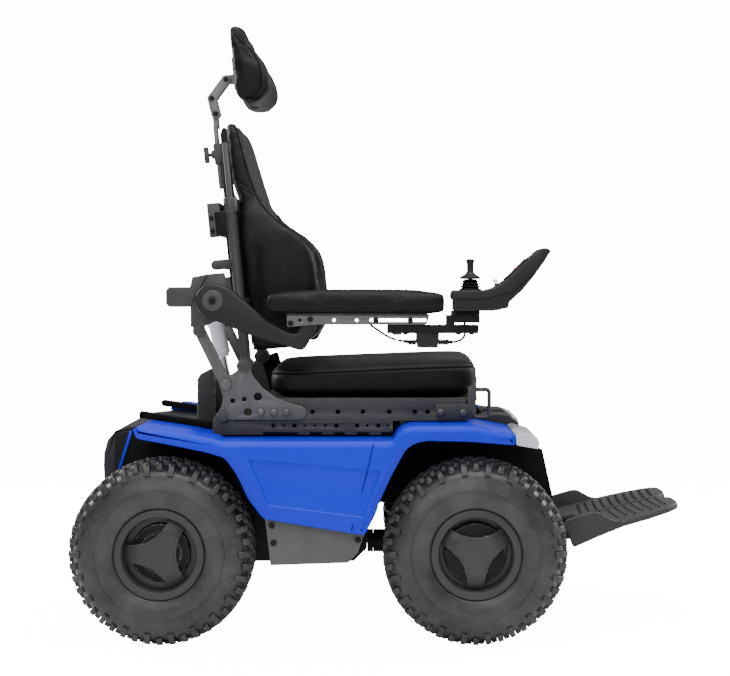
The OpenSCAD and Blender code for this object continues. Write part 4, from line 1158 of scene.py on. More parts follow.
@dataclass
class Bodywork:
    """Blue side panels with their fenders, and the trim that goes with them."""

    top_rear: Outline = ((-479, 425), (-463, 428), (-395, 418), (-325, 405), (-312, 399.5))
    top_front: Outline = ((19, 399.5), (32, 420), (52, 429), (171, 429), (187, 426), (255, 413))
    low_front: Outline = (
        (257, 392), (171, 399), (83, 401), (59, 395), (43, 382), (19, 338), (-5, 287), (-13, 260), (-30, 229),
        (-35, 219.5),
    )
    low_rear: Outline = (
        (-229, 251), (-258, 289), (-279, 334), (-303, 368), (-340, 379), (-413, 394), (-474, 405),
    )
    facet: Outline = ((-258, 366), (-3, 344), (-37, 254), (-219, 277))
    outer: float = 325.0
    band: float = 11.0
    corner: float = 9.0
    rise: float = 6.0
    edge: float = 2.4
    step: float = 1.6
    facet_lean: float = 0.036
    lip_x: float = -128.0
    lip_z: float = 262.0
    lip_slope: float = 0.16
    lip_span: Point2 = (-235.0, -20.0)
    lip_in: float = 5.0
    inside: float = 309.0
    deck_thick: float = 7.5
    deck_inner: Point2 = (170.0, 112.0)
    sill: Block = ((334.0, 149.0, 7.5), (-146.0, 244.5, 395.2))
    trim: Outline = ((-533.5, 330), (-510.5, 406.5), (-505, 404), (-527.5, 330))
    trim_y: Point2 = (171.5, 176.5)
    joints: tuple[tuple[Point2, Point2, float], ...] = (
        ((-17.4, 396.4), (-28.7, 346.8), 325.1), ((-28.4, 345.6), (-52.5, 257), 321.4),
        ((-53, 255), (-60.2, 228.6), 321.5),
    )

    def _skin(self) -> Shape:
        """Outer skin of the left side: rolled edges, a sunk facet and a lower lip that turns under.

        Returns:
            The skin.
        """
        shape = Shape()
        outline = rounded([*self.top_rear, *self.top_front, *self.low_front, *self.low_rear], self.corner, 3)
        shape.plate([outline], self.inside, self.outer - self.rise)
        bmesh.ops.inset_region(
            shape.bm, faces=[shape.top()], thickness=self.band, depth=self.rise, use_even_offset=True
        )
        self._sink_facet(shape)
        limit = math.radians(12)
        rim = [e for e in shape.bm.edges if e.is_manifold and e.calc_face_angle(0.0) > limit]
        done = bmesh.ops.bevel(
            shape.bm, geom=rim, offset=self.edge, offset_type="OFFSET", segments=3, profile=0.5,
            affect="EDGES", clamp_overlap=True, material=-1,
        )
        shape.mark(done["faces"])
        return shape

    def _flats(self, shape: Shape) -> list[BMFace]:
        """The flat faces of the skin's outside."""
        return [
            f for f in shape.bm.faces if f.normal.y > FLAT and f.calc_center_median().y > self.outer - 0.5
        ]

    def _sink_facet(self, shape: Shape) -> None:
        """Cuts the facet and the lower lip out of the flat of the skin and tilts them inwards.

        Args:
            shape: the skin.
        """
        corners = [Vector((x, 0, z)) for x, z in self.facet]
        lines = [(corners[i], corners[(i + 1) % 4]) for i in range(4)]
        for one, two in lines:
            along = two - one
            normal = Vector((along.z, 0, -along.x)).normalized()
            flats = self._flats(shape)
            geom = [*flats, *edges_of(flats), *verts_of(flats)]
            bmesh.ops.bisect_plane(shape.bm, geom=geom, plane_co=one, plane_no=normal, dist=1e-3)
        middle = sum(corners, Vector()) / 4
        inside = min(
            self._flats(shape),
            key=lambda f: (f.calc_center_median() - Vector((middle.x, self.outer, middle.z))).length
        )
        bmesh.ops.inset_region(
            shape.bm, faces=[inside], thickness=self.step, depth=-self.step, use_even_offset=True
        )
        for vert in inside.verts:
            vert.co.y -= self.facet_lean * max(0.0, vert.co.z - self.lip_z)
        for vert in shape.bm.verts:
            lip = self.lip_z - self.lip_slope * (vert.co.x - self.lip_x)
            within = self.lip_span[0] < vert.co.x < self.lip_span[1]
            if within and vert.co.y > self.outer - 1.0 and vert.co.z < lip - self.rise:
                vert.co.y -= self.lip_in

    def _deck(self, line: Sequence[Point2], inner: float) -> Shape:
        """Top of a fender, drawn from its outer roll in to the liner.

        Args:
            line: the fender's upper edge, seen from the side.
            inner: how far in it reaches.

        Returns:
            The top.
        """
        shape = Shape()
        under = [(x, z - self.deck_thick) for x, z in reversed(line)]
        smooth = rounded([*line, *under], 8.0, 3)
        shape.plate([smooth], inner, self.outer - 5.0, 1.2, 2)
        return shape

    def build(self, shop: Workshop) -> None:
        """Sets both panels, the fender tops, the seam lines and the rear trim on the chassis.

        Args:
            shop: the workshop.
        """
        for side, word in SIDES:
            flip = mirrored(side)
            node = "side_panel_" + word
            shop.put(self._skin().transform(flip), "panel_skin_" + word, "chassis", BLUE, (node,), 28.0)
            for end, line, inner in zip(("rear", "front"), (self.top_rear, self.top_front), self.deck_inner):
                deck = self._deck([(x, z - 0.6) for x, z in line], inner)
                shop.put(deck.transform(flip), end + "_fender_top_" + word, "chassis", BLUE, (), 28.0)
            sill = Shape()
            sill.block(self.sill[0], Matrix.Translation(self.sill[1]), 1.5)
            shop.put(sill.transform(flip), "panel_sill_" + word, "chassis", BLUE, (node,))
            trim = Shape()
            trim.plate([self.trim], *self.trim_y, 0.8)
            shop.put(trim.transform(flip), "rear_edge_trim_" + word, "chassis", BLUE)
            seam = Shape()
            for start, stop, depth in self.joints:
                run = Vector((stop[0] - start[0], 0, stop[1] - start[1]))
                centre = Vector(((start[0] + stop[0]) / 2, depth, (start[1] + stop[1]) / 2))
                lean = Matrix.Rotation(math.atan2(run.x, run.z), 4, "Y")
                seam.block((1.5, 1.0, run.length), Matrix.Translation(centre) @ lean)
            shop.put(seam.transform(flip), "panel_seam_" + word, "chassis", LINER)


@dataclass(frozen=True)
class Plain:
    """A CAD node that stays in shape: its finish, and the rounding of its edges in millimetres."""

    node: str
    finish: Finish
    edge: float = 0.0
    steps: int = 2


@dataclass
class Metalwork:
    """Frame, covers and mechanism, kept in their CAD shape with rounded edges."""

    parts: tuple[Plain, ...] = (
        Plain("chassis_tub", DARK_COAT, 1.2),
        Plain("batteries", BATTERY, 3.0),
        Plain("rocker_plates", GREY_PLATE, 0.8),
        Plain("wheel_arch_liners", LINER, 0.8),
        Plain("rear_cover", COVER, 2.5, 3),
        Plain("front_hood", COVER, 2.5, 3),
        Plain("headlamps", LAMP, 2.0, 3),
        Plain("base_frame", FRAME_GREY, 0.7),
        Plain("power_module", MODULE, 3.0, 3),
        Plain("rear_motors", MOTOR, 1.5),
        Plain("front_axle_beam", DARK_COAT, 1.2),
        Plain("kingpins", GROUND),
        Plain("front_drive_right", MOTOR, 1.2),
        Plain("front_drive_left", MOTOR, 1.2),
        Plain("seat_frame", FRAME_GREY, 0.7),
        Plain("side_plates", GREY_PLATE, 0.7),
        Plain("front_tie_downs", FRAME_GREY, 0.7),
        Plain("legrest_mast", DARK_COAT, 1.5, 3),
        Plain("back_frame", FRAME_GREY, 0.9),
        Plain("back_shell", SHELL, 0.8),
        Plain("headrest_knob", FRAME_GREY, 1.0),
        Plain("headrest_bar", LINK_GREY, 0.8),
        Plain("headrest_link", LINK_GREY, 0.8),
        Plain("recline_actuator", TUBE, 1.0),
        Plain("recline_rod", GROUND),
        Plain("arm_plates", BRACKET, 1.0),
        Plain("arm_links", GREY_PLATE, 0.7),
        Plain("joystick_arm", DARK_COAT, 0.8),
        Plain("joystick_pod", BLACK_PLASTIC, 3.0, 3),
        Plain("joystick_gimbal", GROUND),
        Plain("joystick_stick", BLACK_PLASTIC),
        Plain("toggle_right", CHROME),
        Plain("toggle_left", CHROME),
        Plain("power_button", RED, 0.8),
        Plain("junction_box", BLACK_PLASTIC, 0.8),
        Plain("seat_bolts", ZINC, 0.5),
        Plain("chassis_bolts", OXIDE, 0.5),
    )

    def build(self, shop: Workshop) -> None:
        """Dresses each node, with a rounded copy where its edges show.

        Args:
            shop: the workshop.
        """
        for part in self.parts:
            body = shop.nodes[part.node]["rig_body"]
            if part.edge > 0:
                shape = shop.rounded_copy(part.node, part.edge, part.steps)
                shop.put(shape, part.node + "_finished", body, part.finish, (part.node,), 32.0)
            else:
                shop.dress(shop.nodes[part.node], part.finish)


def from_back(forward: float, y: float, up: float) -> Vector:
    """A point measured along the back's own forward and up directions, in metres of the shared frame."""
    cos, sin = math.cos(BACK_LEAN), math.sin(BACK_LEAN)
    return Vector((RECLINE[0] + forward * cos - up * sin, y, RECLINE[1] + forward * sin + up * cos)) * MM


def settled(piece: Object) -> Mesh:
    """A new mesh of a piece with its modifiers applied."""
    graph = bpy.context.evaluated_depsgraph_get()
    return bpy.data.meshes.new_from_object(piece.evaluated_get(graph))


@dataclass(frozen=True)
class Seam:
    """A sewn line on a cover: its points in metres, and whether it closes on itself."""

    points: tuple[Vector, ...]
    closed: bool = False


def tube(name: str, lines: Sequence[Seam], radius: float, facets: int) -> Object:
    """Sets a round tube along some lines.

    Args:
        name: the object's name.
        lines: the lines, in metres.
        radius: the tube's radius, in metres.
        facets: fineness of its round.

    Returns:
        The curve object.
    """
    curve = bpy.data.curves.new(name, "CURVE")
    curve.dimensions = "3D"
    curve.bevel_depth, curve.bevel_resolution, curve.use_fill_caps = radius, facets, True
    for line in lines:
        spline = curve.splines.new("POLY")
        spline.points.add(len(line.points) - 1)
        for slot, point in zip(spline.points, line.points):
            slot.co = (*point, 1.0)
        spline.use_cyclic_u = line.closed
    return placed(name, curve)


def side_seam(skin: BVHTree, side: int, points: Sequence[Point2]) -> Seam:
    """A seam where points of the back's side view fall on one side of a cover."""
    hits = [skin.ray_cast(from_back(f, side * AWAY, u), Vector((0, -side, 0)))[0] for f, u in points]
    return Seam(tuple(p for p in hits if p is not None))


def ring_seam(
    skin: BVHTree, centre: Point2, half: Point2, level: Callable[[float], float], count: int
) -> Seam:
    """Finds a seam round a pad by looking inwards from all sides at the seam's height.

    Args:
        skin: the pad's surface, in metres.
        centre: X and Y of the pad's middle, in millimetres.
        half: half its length and half its width.
        level: height of the seam at one X.
        count: points round the pad.

    Returns:
        The closed seam.
    """
    core = max(0.0, half[0] - half[1])
    points: list[Vector] = []
    for i in range(count):
        angle = math.tau * i / count
        out = Vector((math.cos(angle), math.sin(angle), 0.0))
        aim_x = centre[0] + core * max(-1.0, min(1.0, 1.5 * out.x))
        start = Vector((aim_x, centre[1], 0.0)) + out * (max(half) + 60.0)
        start.z = level(max(centre[0] - half[0], min(centre[0] + half[0], aim_x + out.x * half[1])))
        found = skin.ray_cast(start * MM, -out)[0]
        if found is not None:
            points.append(found)
    return Seam(tuple(points), True)


@dataclass
class Cushion:
    """Foam in a sewn cover: a CAD solid swollen by cloth simulation, then seamed and piped."""

    node: str
    piece: str
    rest_on: Vector
    rest_up: Vector
    fill: float = 0.7
    voxel: float = 5.5
    slack: float = 3.0
    cap: float = 6.0
    pressure: float = 4.0
    groove: float = 2.0
    groove_width: float = 4.5
    welt: float = 1.5
    plump: float = 1.5
    mass: float = 0.3
    frames: int = 20
    finishes: tuple[Finish, ...] = (VINYL, FABRIC)

    def trim(self, cover: BMesh) -> None:
        """Cuts away what isn't cushion. A plain cushion keeps its whole solid."""

    def seams(self, skin: BVHTree) -> list[Seam]:
        """The sewn lines on the cover. A plain cushion has none."""
        return []

    def zone(self, middle: Vector, normal: Vector) -> int:
        """Which of the finishes a face gets, from its middle in millimetres and its normal."""
        return 0

    def _cut(self, shop: Workshop) -> Object:
        """Makes the cover as it is cut: a little smaller than the solid, with an even net of faces.

        Args:
            shop: the workshop.

        Returns:
            The cover.
        """
        cover = shop.copy_node(self.node)
        self.trim(cover)
        cover.normal_update()
        inward = [(v, v.normal * self.slack * MM) for v in cover.verts]
        for vert, move in inward:
            vert.co -= move
        mesh = bpy.data.meshes.new(self.piece + "_cut")
        cover.to_mesh(mesh)
        cover.free()
        cut = placed(self.piece + "_cut", mesh)
        net = cut.modifiers.new("even_net", "REMESH")
        net.mode, net.voxel_size = "VOXEL", self.voxel * MM
        ease = cut.modifiers.new("ease", "SMOOTH")
        ease.factor, ease.iterations = 0.5, 6
        self._apply(cut)
        return cut

    @staticmethod
    def _apply(cut: Object) -> None:
        """Applies every modifier of a piece.

        Args:
            cut: the piece.
        """
        mesh = settled(cut)
        cut.modifiers.clear()
        cut.data = mesh

    @staticmethod
    def _places(cut: Object) -> np.ndarray:
        """Where a piece's points are.

        Args:
            cut: the piece.

        Returns:
            One row for each point, in metres.
        """
        flat = np.empty(len(cut.data.vertices) * 3)
        cut.data.vertices.foreach_get("co", flat)
        return flat.reshape(-1, 3)

    def _swell(self, cut: Object) -> None:
        """Blows the cover up over its foam, within a cap, and presses it flat where it rests.

        Args:
            cut: the cover as it is cut.
        """
        before = self._places(cut)
        cloth = cut.modifiers.new("swell", "CLOTH")
        cloth.settings.quality = 4
        cloth.settings.mass = self.mass
        cloth.settings.use_pressure = True
        cloth.settings.uniform_pressure_force = self.pressure
        cloth.settings.effector_weights.gravity = 0.0
        cloth.point_cache.frame_start, cloth.point_cache.frame_end = 1, self.frames
        for frame in range(1, self.frames + 1):
            bpy.context.scene.frame_set(frame)
        self._apply(cut)
        bpy.context.scene.frame_set(1)
        after = self._places(cut)
        move = after - before
        reach = np.linalg.norm(move, axis=1, keepdims=True)
        after = before + move * np.minimum(1.0, self.cap * MM / np.maximum(reach, 1e-9))
        up = np.array(self.rest_up)
        height = (after - np.array(self.rest_on)) @ up
        after += np.outer(np.maximum(0.0, -height), up)
        cut.data.vertices.foreach_set("co", after.ravel())
        cut.data.update()

    def _sew(self, cut: Object) -> tuple[Mesh, list[Seam]]:
        """Subdivides the cover once, draws its seams in and gives each face its finish.

        Args:
            cut: the swollen cover.

        Returns:
            The finished mesh and its seams.
        """
        finer = cut.modifiers.new("finer", "SUBSURF")
        finer.levels = finer.render_levels = 1
        self._apply(cut)
        work = bmesh.new()
        work.from_mesh(cut.data)
        work.normal_update()
        lines = self.seams(BVHTree.FromBMesh(work))
        dense = [p for line in lines for p in self._dense(line)]
        if dense:
            tree = KDTree(len(dense))
            for i, point in enumerate(dense):
                tree.insert(point, i)
            tree.balance()
            for vert in work.verts:
                far = tree.find(vert.co)[2] / MM
                if far < 4 * self.groove_width:
                    vert.co -= vert.normal * self.groove * MM * math.exp(-((far / self.groove_width) ** 2))
        for face in work.faces:
            face.material_index = self.zone(face.calc_center_median() / MM, face.normal)
            face.smooth = True
        mesh = bpy.data.meshes.new(self.piece)
        work.to_mesh(mesh)
        work.free()
        return mesh, lines

    @staticmethod
    def _dense(line: Seam) -> list[Vector]:
        """Points about 2 mm apart along a seam.

        Args:
            line: the seam.

        Returns:
            The points.
        """
        ends = line.points[1:] + line.points[:1] if line.closed else line.points[1:]
        made: list[Vector] = []
        for one, two in zip(line.points, ends):
            steps = max(1, round((two - one).length / (2 * MM)))
            made += [one.lerp(two, k / steps) for k in range(steps)]
        return made

    def _piping(self, lines: Sequence[Seam]) -> Mesh:
        """Welts along the seams.

        Args:
            lines: the seams.

        Returns:
            The mesh of the welts.
        """
        holder = tube(self.piece + "_welts", lines, self.welt * MM, 2)
        mesh = settled(holder)
        bpy.data.objects.remove(holder)
        mesh.shade_smooth()
        return mesh

    def build(self, shop: Workshop) -> None:
        """Makes the cushion and its piping and sets them on the CAD solid's body.

        Args:
            shop: the workshop.
        """
        body = shop.nodes[self.node]["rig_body"]
        cut = self._cut(shop)
        self._swell(cut)
        mesh, lines = self._sew(cut)
        bpy.data.objects.remove(cut)
        made = shop.add(mesh, self.piece, body, self.finishes, (self.node,))
        if lines:
            shop.add(self._piping(lines), self.piece + "_piping", body, (PIPING,))


@dataclass
class SeatCushion(Cushion):
    """Seat cushion with a dark top panel sewn to a paler boxing."""

    seam_rear: Point2 = (-236.0, 521.0)
    seam_front: Point2 = (199.0, 540.0)
    half_width: float = 215.0

    def _level(self, x: float) -> float:
        """Height of the top seam at one X."""
        share = (x - self.seam_rear[0]) / (self.seam_front[0] - self.seam_rear[0])
        return self.seam_rear[1] + share * (self.seam_front[1] - self.seam_rear[1])

    def seams(self, skin: BVHTree) -> list[Seam]:
        """One seam round the cushion between its top and its boxing."""
        middle = (self.seam_rear[0] + self.seam_front[0]) / 2
        return [
            ring_seam(skin, (middle, 0.0), (middle - self.seam_rear[0], self.half_width), self._level, 150)
        ]

    def zone(self, middle: Vector, normal: Vector) -> int:
        """The top panel above the seam, the boxing below it."""
        return 0 if middle.z > self._level(middle.x) else 1


@dataclass
class ArmPad(Cushion):
    """Arm pad with a seam line above its base."""

    centre: Point2 = (0.0, 0.0)
    half: Point2 = (158.0, 35.0)
    level: float = 659.0

    def seams(self, skin: BVHTree) -> list[Seam]:
        """One seam round the pad."""
        return [ring_seam(skin, self.centre, self.half, lambda x: self.level, 90)]


@dataclass
class BackCushion(Cushion):
    """Back cushion whose side wings reach forward, piped along their edges."""

    top: float = 488.0
    low: float = 46.0
    count: int = 75
    front: float = 22.0
    look_in: float = 16.0
    edge_in: float = 2.0
    cloth: Point3 = (0.6, 165.0, 880.0)
    wing_top: Outline = ((22, 364), (30, 357), (38, 350), (48, 341), (58, 332), (66, 325))

    def _edge(self, skin: BVHTree, side: int) -> Seam:
        """The edge where the front of the cushion meets its side.

        Args:
            skin: the cover.
            side: 1 for the left, -1 for the right.

        Returns:
            The seam.
        """
        points: list[Vector] = []
        ahead = from_back(1.0, 0.0, 0.0) - from_back(0.0, 0.0, 0.0)
        for i in range(self.count):
            up = self.top + (self.low - self.top) * i / (self.count - 1)
            across = skin.ray_cast(from_back(self.front, side * AWAY, up), Vector((0, -side, 0)))[0]
            if across is None:
                continue
            wide = abs(across.y) / MM
            front = skin.ray_cast(from_back(AWAY, side * (wide - self.look_in), up), -ahead.normalized())[0]
            if front is not None:
                near = skin.find_nearest(Vector((front.x, side * (wide - self.edge_in) * MM, front.z)))[0]
                points.append(near)
        return Seam(tuple(points))

    def seams(self, skin: BVHTree) -> list[Seam]:
        """An edge seam and a wing-top seam on each side.

        Args:
            skin: the cover.

        Returns:
            The seams.
        """
        made: list[Seam] = []
        for side in (1, -1):
            made += [self._edge(skin, side), side_seam(skin, side, self.wing_top)]
        return made

    def zone(self, middle: Vector, normal: Vector) -> int:
        """Knitted cloth on the outside of the wings, vinyl elsewhere."""
        facing, wide, high = self.cloth
        return 1 if abs(normal.y) > facing and abs(middle.y) > wide and middle.z < high else 0


@dataclass
class HeadCushion(Cushion):
    """Headrest pad with a cloth panel let into each end."""

    plate_front: float = 25.2
    plate_gap: float = 1.1
    end_on: float = 0.8
    panel: Outline = (
        (27, 700), (33, 688), (41, 673), (52, 657), (64, 646), (74, 632), (82, 612), (85, 590), (84, 570),
        (78, 555), (66, 545), (54, 539),
    )

    def trim(self, cover: BMesh) -> None:
        """Cuts the pad from its mounting plate."""
        self._keep(cover, True)

    def _keep(self, cover: BMesh, pad: bool) -> None:
        """Keeps the pad in front of the plate's face, or what lies behind it.

        Args:
            cover: the copy of the solid, cut in place.
            pad: keeps the pad, or else the plate.
        """
        ahead = (from_back(1.0, 0.0, 0.0) - from_back(0.0, 0.0, 0.0)).normalized()
        geom = [*cover.verts, *cover.edges, *cover.faces]
        level = self.plate_front if pad else self.plate_front - self.plate_gap
        cut = bmesh.ops.bisect_plane(
            cover, geom=geom, plane_co=from_back(level, 0.0, 0.0), plane_no=ahead, dist=1e-6, clear_inner=pad,
            clear_outer=not pad,
        )
        edges = [e for e in cut["geom_cut"] if isinstance(e, BMEdge) and e.is_boundary]
        bmesh.ops.holes_fill(cover, edges=edges, sides=0)
        bmesh.ops.recalc_face_normals(cover, faces=cover.faces[:])

    def seams(self, skin: BVHTree) -> list[Seam]:
        """The line round each end panel."""
        return [side_seam(skin, side, self.panel) for side in (1, -1)]

    def zone(self, middle: Vector, normal: Vector) -> int:
        """Cloth on the flat of each end, vinyl on the roll round it."""
        return 1 if abs(normal.y) > self.end_on else 0

    def build(self, shop: Workshop) -> None:
        """Makes the pad, and its mounting plate as a piece of its own.

        Args:
            shop: the workshop.
        """
        super().build(shop)
        plate = shop.rounded_copy(self.node, 0.8, 2, lambda copy: self._keep(copy, False))
        shop.put(plate, "headrest_mount", shop.nodes[self.node]["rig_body"], LINK_GREY, (self.node,), 32.0)


@dataclass
class Upholstery:
    """Every padded piece of the chair."""

    seat_base: float = 475.2
    pad_base: float = 644.2
    head_face: float = 25.3

    def build(self, shop: Workshop) -> None:
        """Builds the cushions one after another.

        Args:
            shop: the workshop.
        """
        ahead = Vector((math.cos(BACK_LEAN), 0, math.sin(BACK_LEAN)))
        cushions: list[Cushion] = [
            SeatCushion(
                "seat_cushion", "seat_pad", Vector((0, 0, self.seat_base)) * MM, UP,
                finishes=(VINYL, SIDE_VINYL)
            ),
            BackCushion("back_cushion", "back_pad", from_back(-8.0, 0.0, 0.0), ahead),
            HeadCushion(
                "headrest_pad", "head_pad_cover", from_back(self.head_face, 0.0, 0.0), ahead, voxel=4.2,
                slack=2.0, cap=4.0
            ),
        ]
        for side, word in SIDES:
            cushions.append(
                ArmPad(
                    "arm_pad_" + word, "arm_pad_cover_" + word, Vector((0, 0, self.pad_base)) * MM, UP,
                    voxel=4.2, slack=1.6, cap=3.0, groove=1.0, groove_width=2.6, welt=0.8,
                    centre=(HUB[0] + 278.3, side * ARM_Y), half=(174.0, 35.0),
                )
            )
        for cushion in cushions:
            cushion.build(shop)


@dataclass
class Cables:
    """The controller's two short cables."""

    diameter: float = 4.5
    arm_points: tuple[Point3, ...] = (
        (-24.3, -286.6, 623.4), (-12.3, -284, 614.4), (8.7, -276, 600.4), (24.7, -270, 593.4),
    )
    box_line: Point3 = (SWING_X, -ARM_Y, 588.4)
    leave: float = 93.0
    straight: float = 13.0
    bend: float = 28.0
    lean: Point2 = (0.8, 0.6)
    rise: float = 18.0
    end: float = 61.6
    relief_radius: float = 5.6
    relief_taper: float = 1.6
    relief_root: float = 3.0

    def _arm_route(self) -> list[Vector]:
        """A smooth line through the arm cable's points.

        Returns:
            The points, in millimetres.
        """
        knots = [Vector(p) for p in self.arm_points]
        ends = [knots[0] * 2 - knots[1], *knots, knots[-1] * 2 - knots[-2]]
        made: list[Vector] = []
        for before, one, two, after in zip(ends, ends[1:], ends[2:], ends[3:]):
            made += interpolate_bezier(one, one + (two - before) / 6, two - (after - one) / 6, two, 7)[:-1]
        return [*made, knots[-1]]

    def _box_route(self) -> list[Vector]:
        """Out of the junction box, round in two bends and up into the controller.

        Returns:
            The points, in millimetres.
        """
        start = Vector(self.box_line)
        side, up = self.lean
        corner = self.leave + self.straight
        made = [Vector((self.leave + self.straight * i / 2, 0, 0)) for i in range(2)]
        for i in range(10):
            turn = math.radians(10 * i)
            out = self.bend * (1 - math.cos(turn))
            made.append(Vector((corner + self.bend * math.sin(turn), side * out, up * out)))
        middle = (side * self.bend - up * self.rise, up * self.bend + side * self.rise)
        low = math.degrees(math.acos(up))
        for y, z in arc(middle, self.rise, -low, 0.0, 6)[1:]:
            made.append(Vector((corner + self.bend, y, z)))
        top = made[-1]
        made += [Vector((top.x, top.y, top.z + (self.end - top.z) * i / 4)) for i in range(1, 5)]
        return [start + p for p in made]

    def _lay(
        self, shop: Workshop, name: str, route: Sequence[Vector], body: str, node: str,
        extras: Sequence[object]
    ) -> None:
        """Args:
            shop: the workshop.
            name: the cable's name.
            route: its points, in millimetres.
            body: the body that it rides on.
            node: the CAD node that it stands for.
            extras: pieces that belong to it; not used.
        """
        cable = tube(name, (Seam(tuple(p * MM for p in route)),), self.diameter / 2 * MM, 5)
        shop.dress(cable, CABLE)
        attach(cable, body)
        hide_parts(node)

    def _relief(self, turns: int, length: float) -> Shape:
        """A ribbed strain relief that starts at the origin and points along X.

        Args:
            turns: how many ribs it has.
            length: its length.

        Returns:
            The strain relief.
        """
        profile: list[Point2] = [(0.0, 0.0), (self.relief_radius, 0.0)]
        for i in range(turns):
            base = length * i / turns
            wide = self.relief_radius - self.relief_taper * i / turns
            pitch = length / turns
            profile += [(wide, base + 0.4), (wide, base + 0.5 * pitch)]
            profile += [(self.relief_root, base + share * pitch) for share in (0.6, 0.95)]
        profile += [(2.7, length), (0.0, length)]
        shape = Shape()
        shape.lathe(profile, 24, closed=False)
        return shape.transform(turned(-90, "Z"))

    def build(self, shop: Workshop) -> None:
        """Lays both cables, the tail under the pivot and the strain reliefs.

        Args:
            shop: the workshop.
        """
        base = Vector(self.box_line)
        tail = Shape()
        tail.lathe(((0, 0), (2.25, 0), (2.25, 25), (0, 25)), 20, closed=False)
        lean = Matrix.Translation(base + Vector((2.2, 0, 3.4))) @ turned(7.8, "Y")
        tail.transform(lean @ turned(-90, "Z"))
        tail_piece = shop.put(tail, "cable_tail", "joystick", CABLE, ("control_cable",))
        front = self._relief(4, 18.0).transform(Matrix.Translation(base + Vector((self.leave - 2.0, 0, 0))))
        front_piece = shop.put(front, "strain_relief_front", "joystick", CABLE)
        rear = self._relief(3, 13.0).transform(
            lean @ moved(24.0, 0, 0) @ turned(180, "Z")
        )
        rear_piece = shop.put(rear, "strain_relief_rear", "joystick", CABLE)
        self._lay(
            shop, "arm_cable_run", self._arm_route(), "right_arm", "arm_cable", (tail_piece, rear_piece)
        )
        self._lay(
            shop, "controller_cable_run", self._box_route(), "joystick", "control_cable", (front_piece,)
        )


@dataclass
class Boot:
    """Ribbed rubber boot between the controller's top and its stick."""

    centre: Point3 = (171.0, -ARM_Y, 690.0)
    lower: Outline = (
        (15.5, 0), (22, 0), (22.4, 1), (22, 2), (17.2, 3.6), (16.6, 4.4), (17.2, 5.2), (20.2, 6.4), (20.7, 7),
        (20.2, 7.6), (16, 9), (15.6, 9.8), (15.8, 10.6), (13.4, 10.6), (13, 9.4), (17, 7), (13.6, 4.4),
    )
    upper: Outline = (
        (15.8, 10.3), (18.4, 11.5), (18.9, 12.2), (18.4, 12.9), (14.6, 14.2), (14.2, 14.8), (14.6, 15.6),
        (16.3, 16.8), (16.6, 17.4), (16.2, 18), (12.2, 19.2), (12, 21.3), (9.2, 21.3), (9.2, 18.4),
        (13.4, 16.6), (11.2, 14.4), (15.4, 12), (13.2, 10.3),
    )
    split: float = 10.5
    height: float = 21.3

    def build(self, shop: Workshop) -> None:
        """Makes the two halves, which bend between the controller, the gimbal and the stick.

        Args:
            shop: the workshop.
        """
        x, y, z = self.centre
        for name, profile, first, second, low, high in (
            ("boot_lower", self.lower, "joystick", "gimbal", 0.5, self.split),
            ("boot_upper", self.upper, "gimbal", "stick", self.split, self.height),
        ):
            shape = Shape()
            shape.lathe(profile, 48)
            shape.transform(Matrix.Translation(self.centre) @ turned(90, "X"))
            piece = placed(name, shape.mesh(name, 50.0))
            shop.dress(piece, RUBBER)
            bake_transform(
                piece, first, second, start=(x * MM, y * MM, (z + low) * MM),
                end=(x * MM, y * MM, (z + high) * MM)
            )
            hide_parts("joystick_boot")
            LOG.info("%s bends between %s and %s", name, first, second)


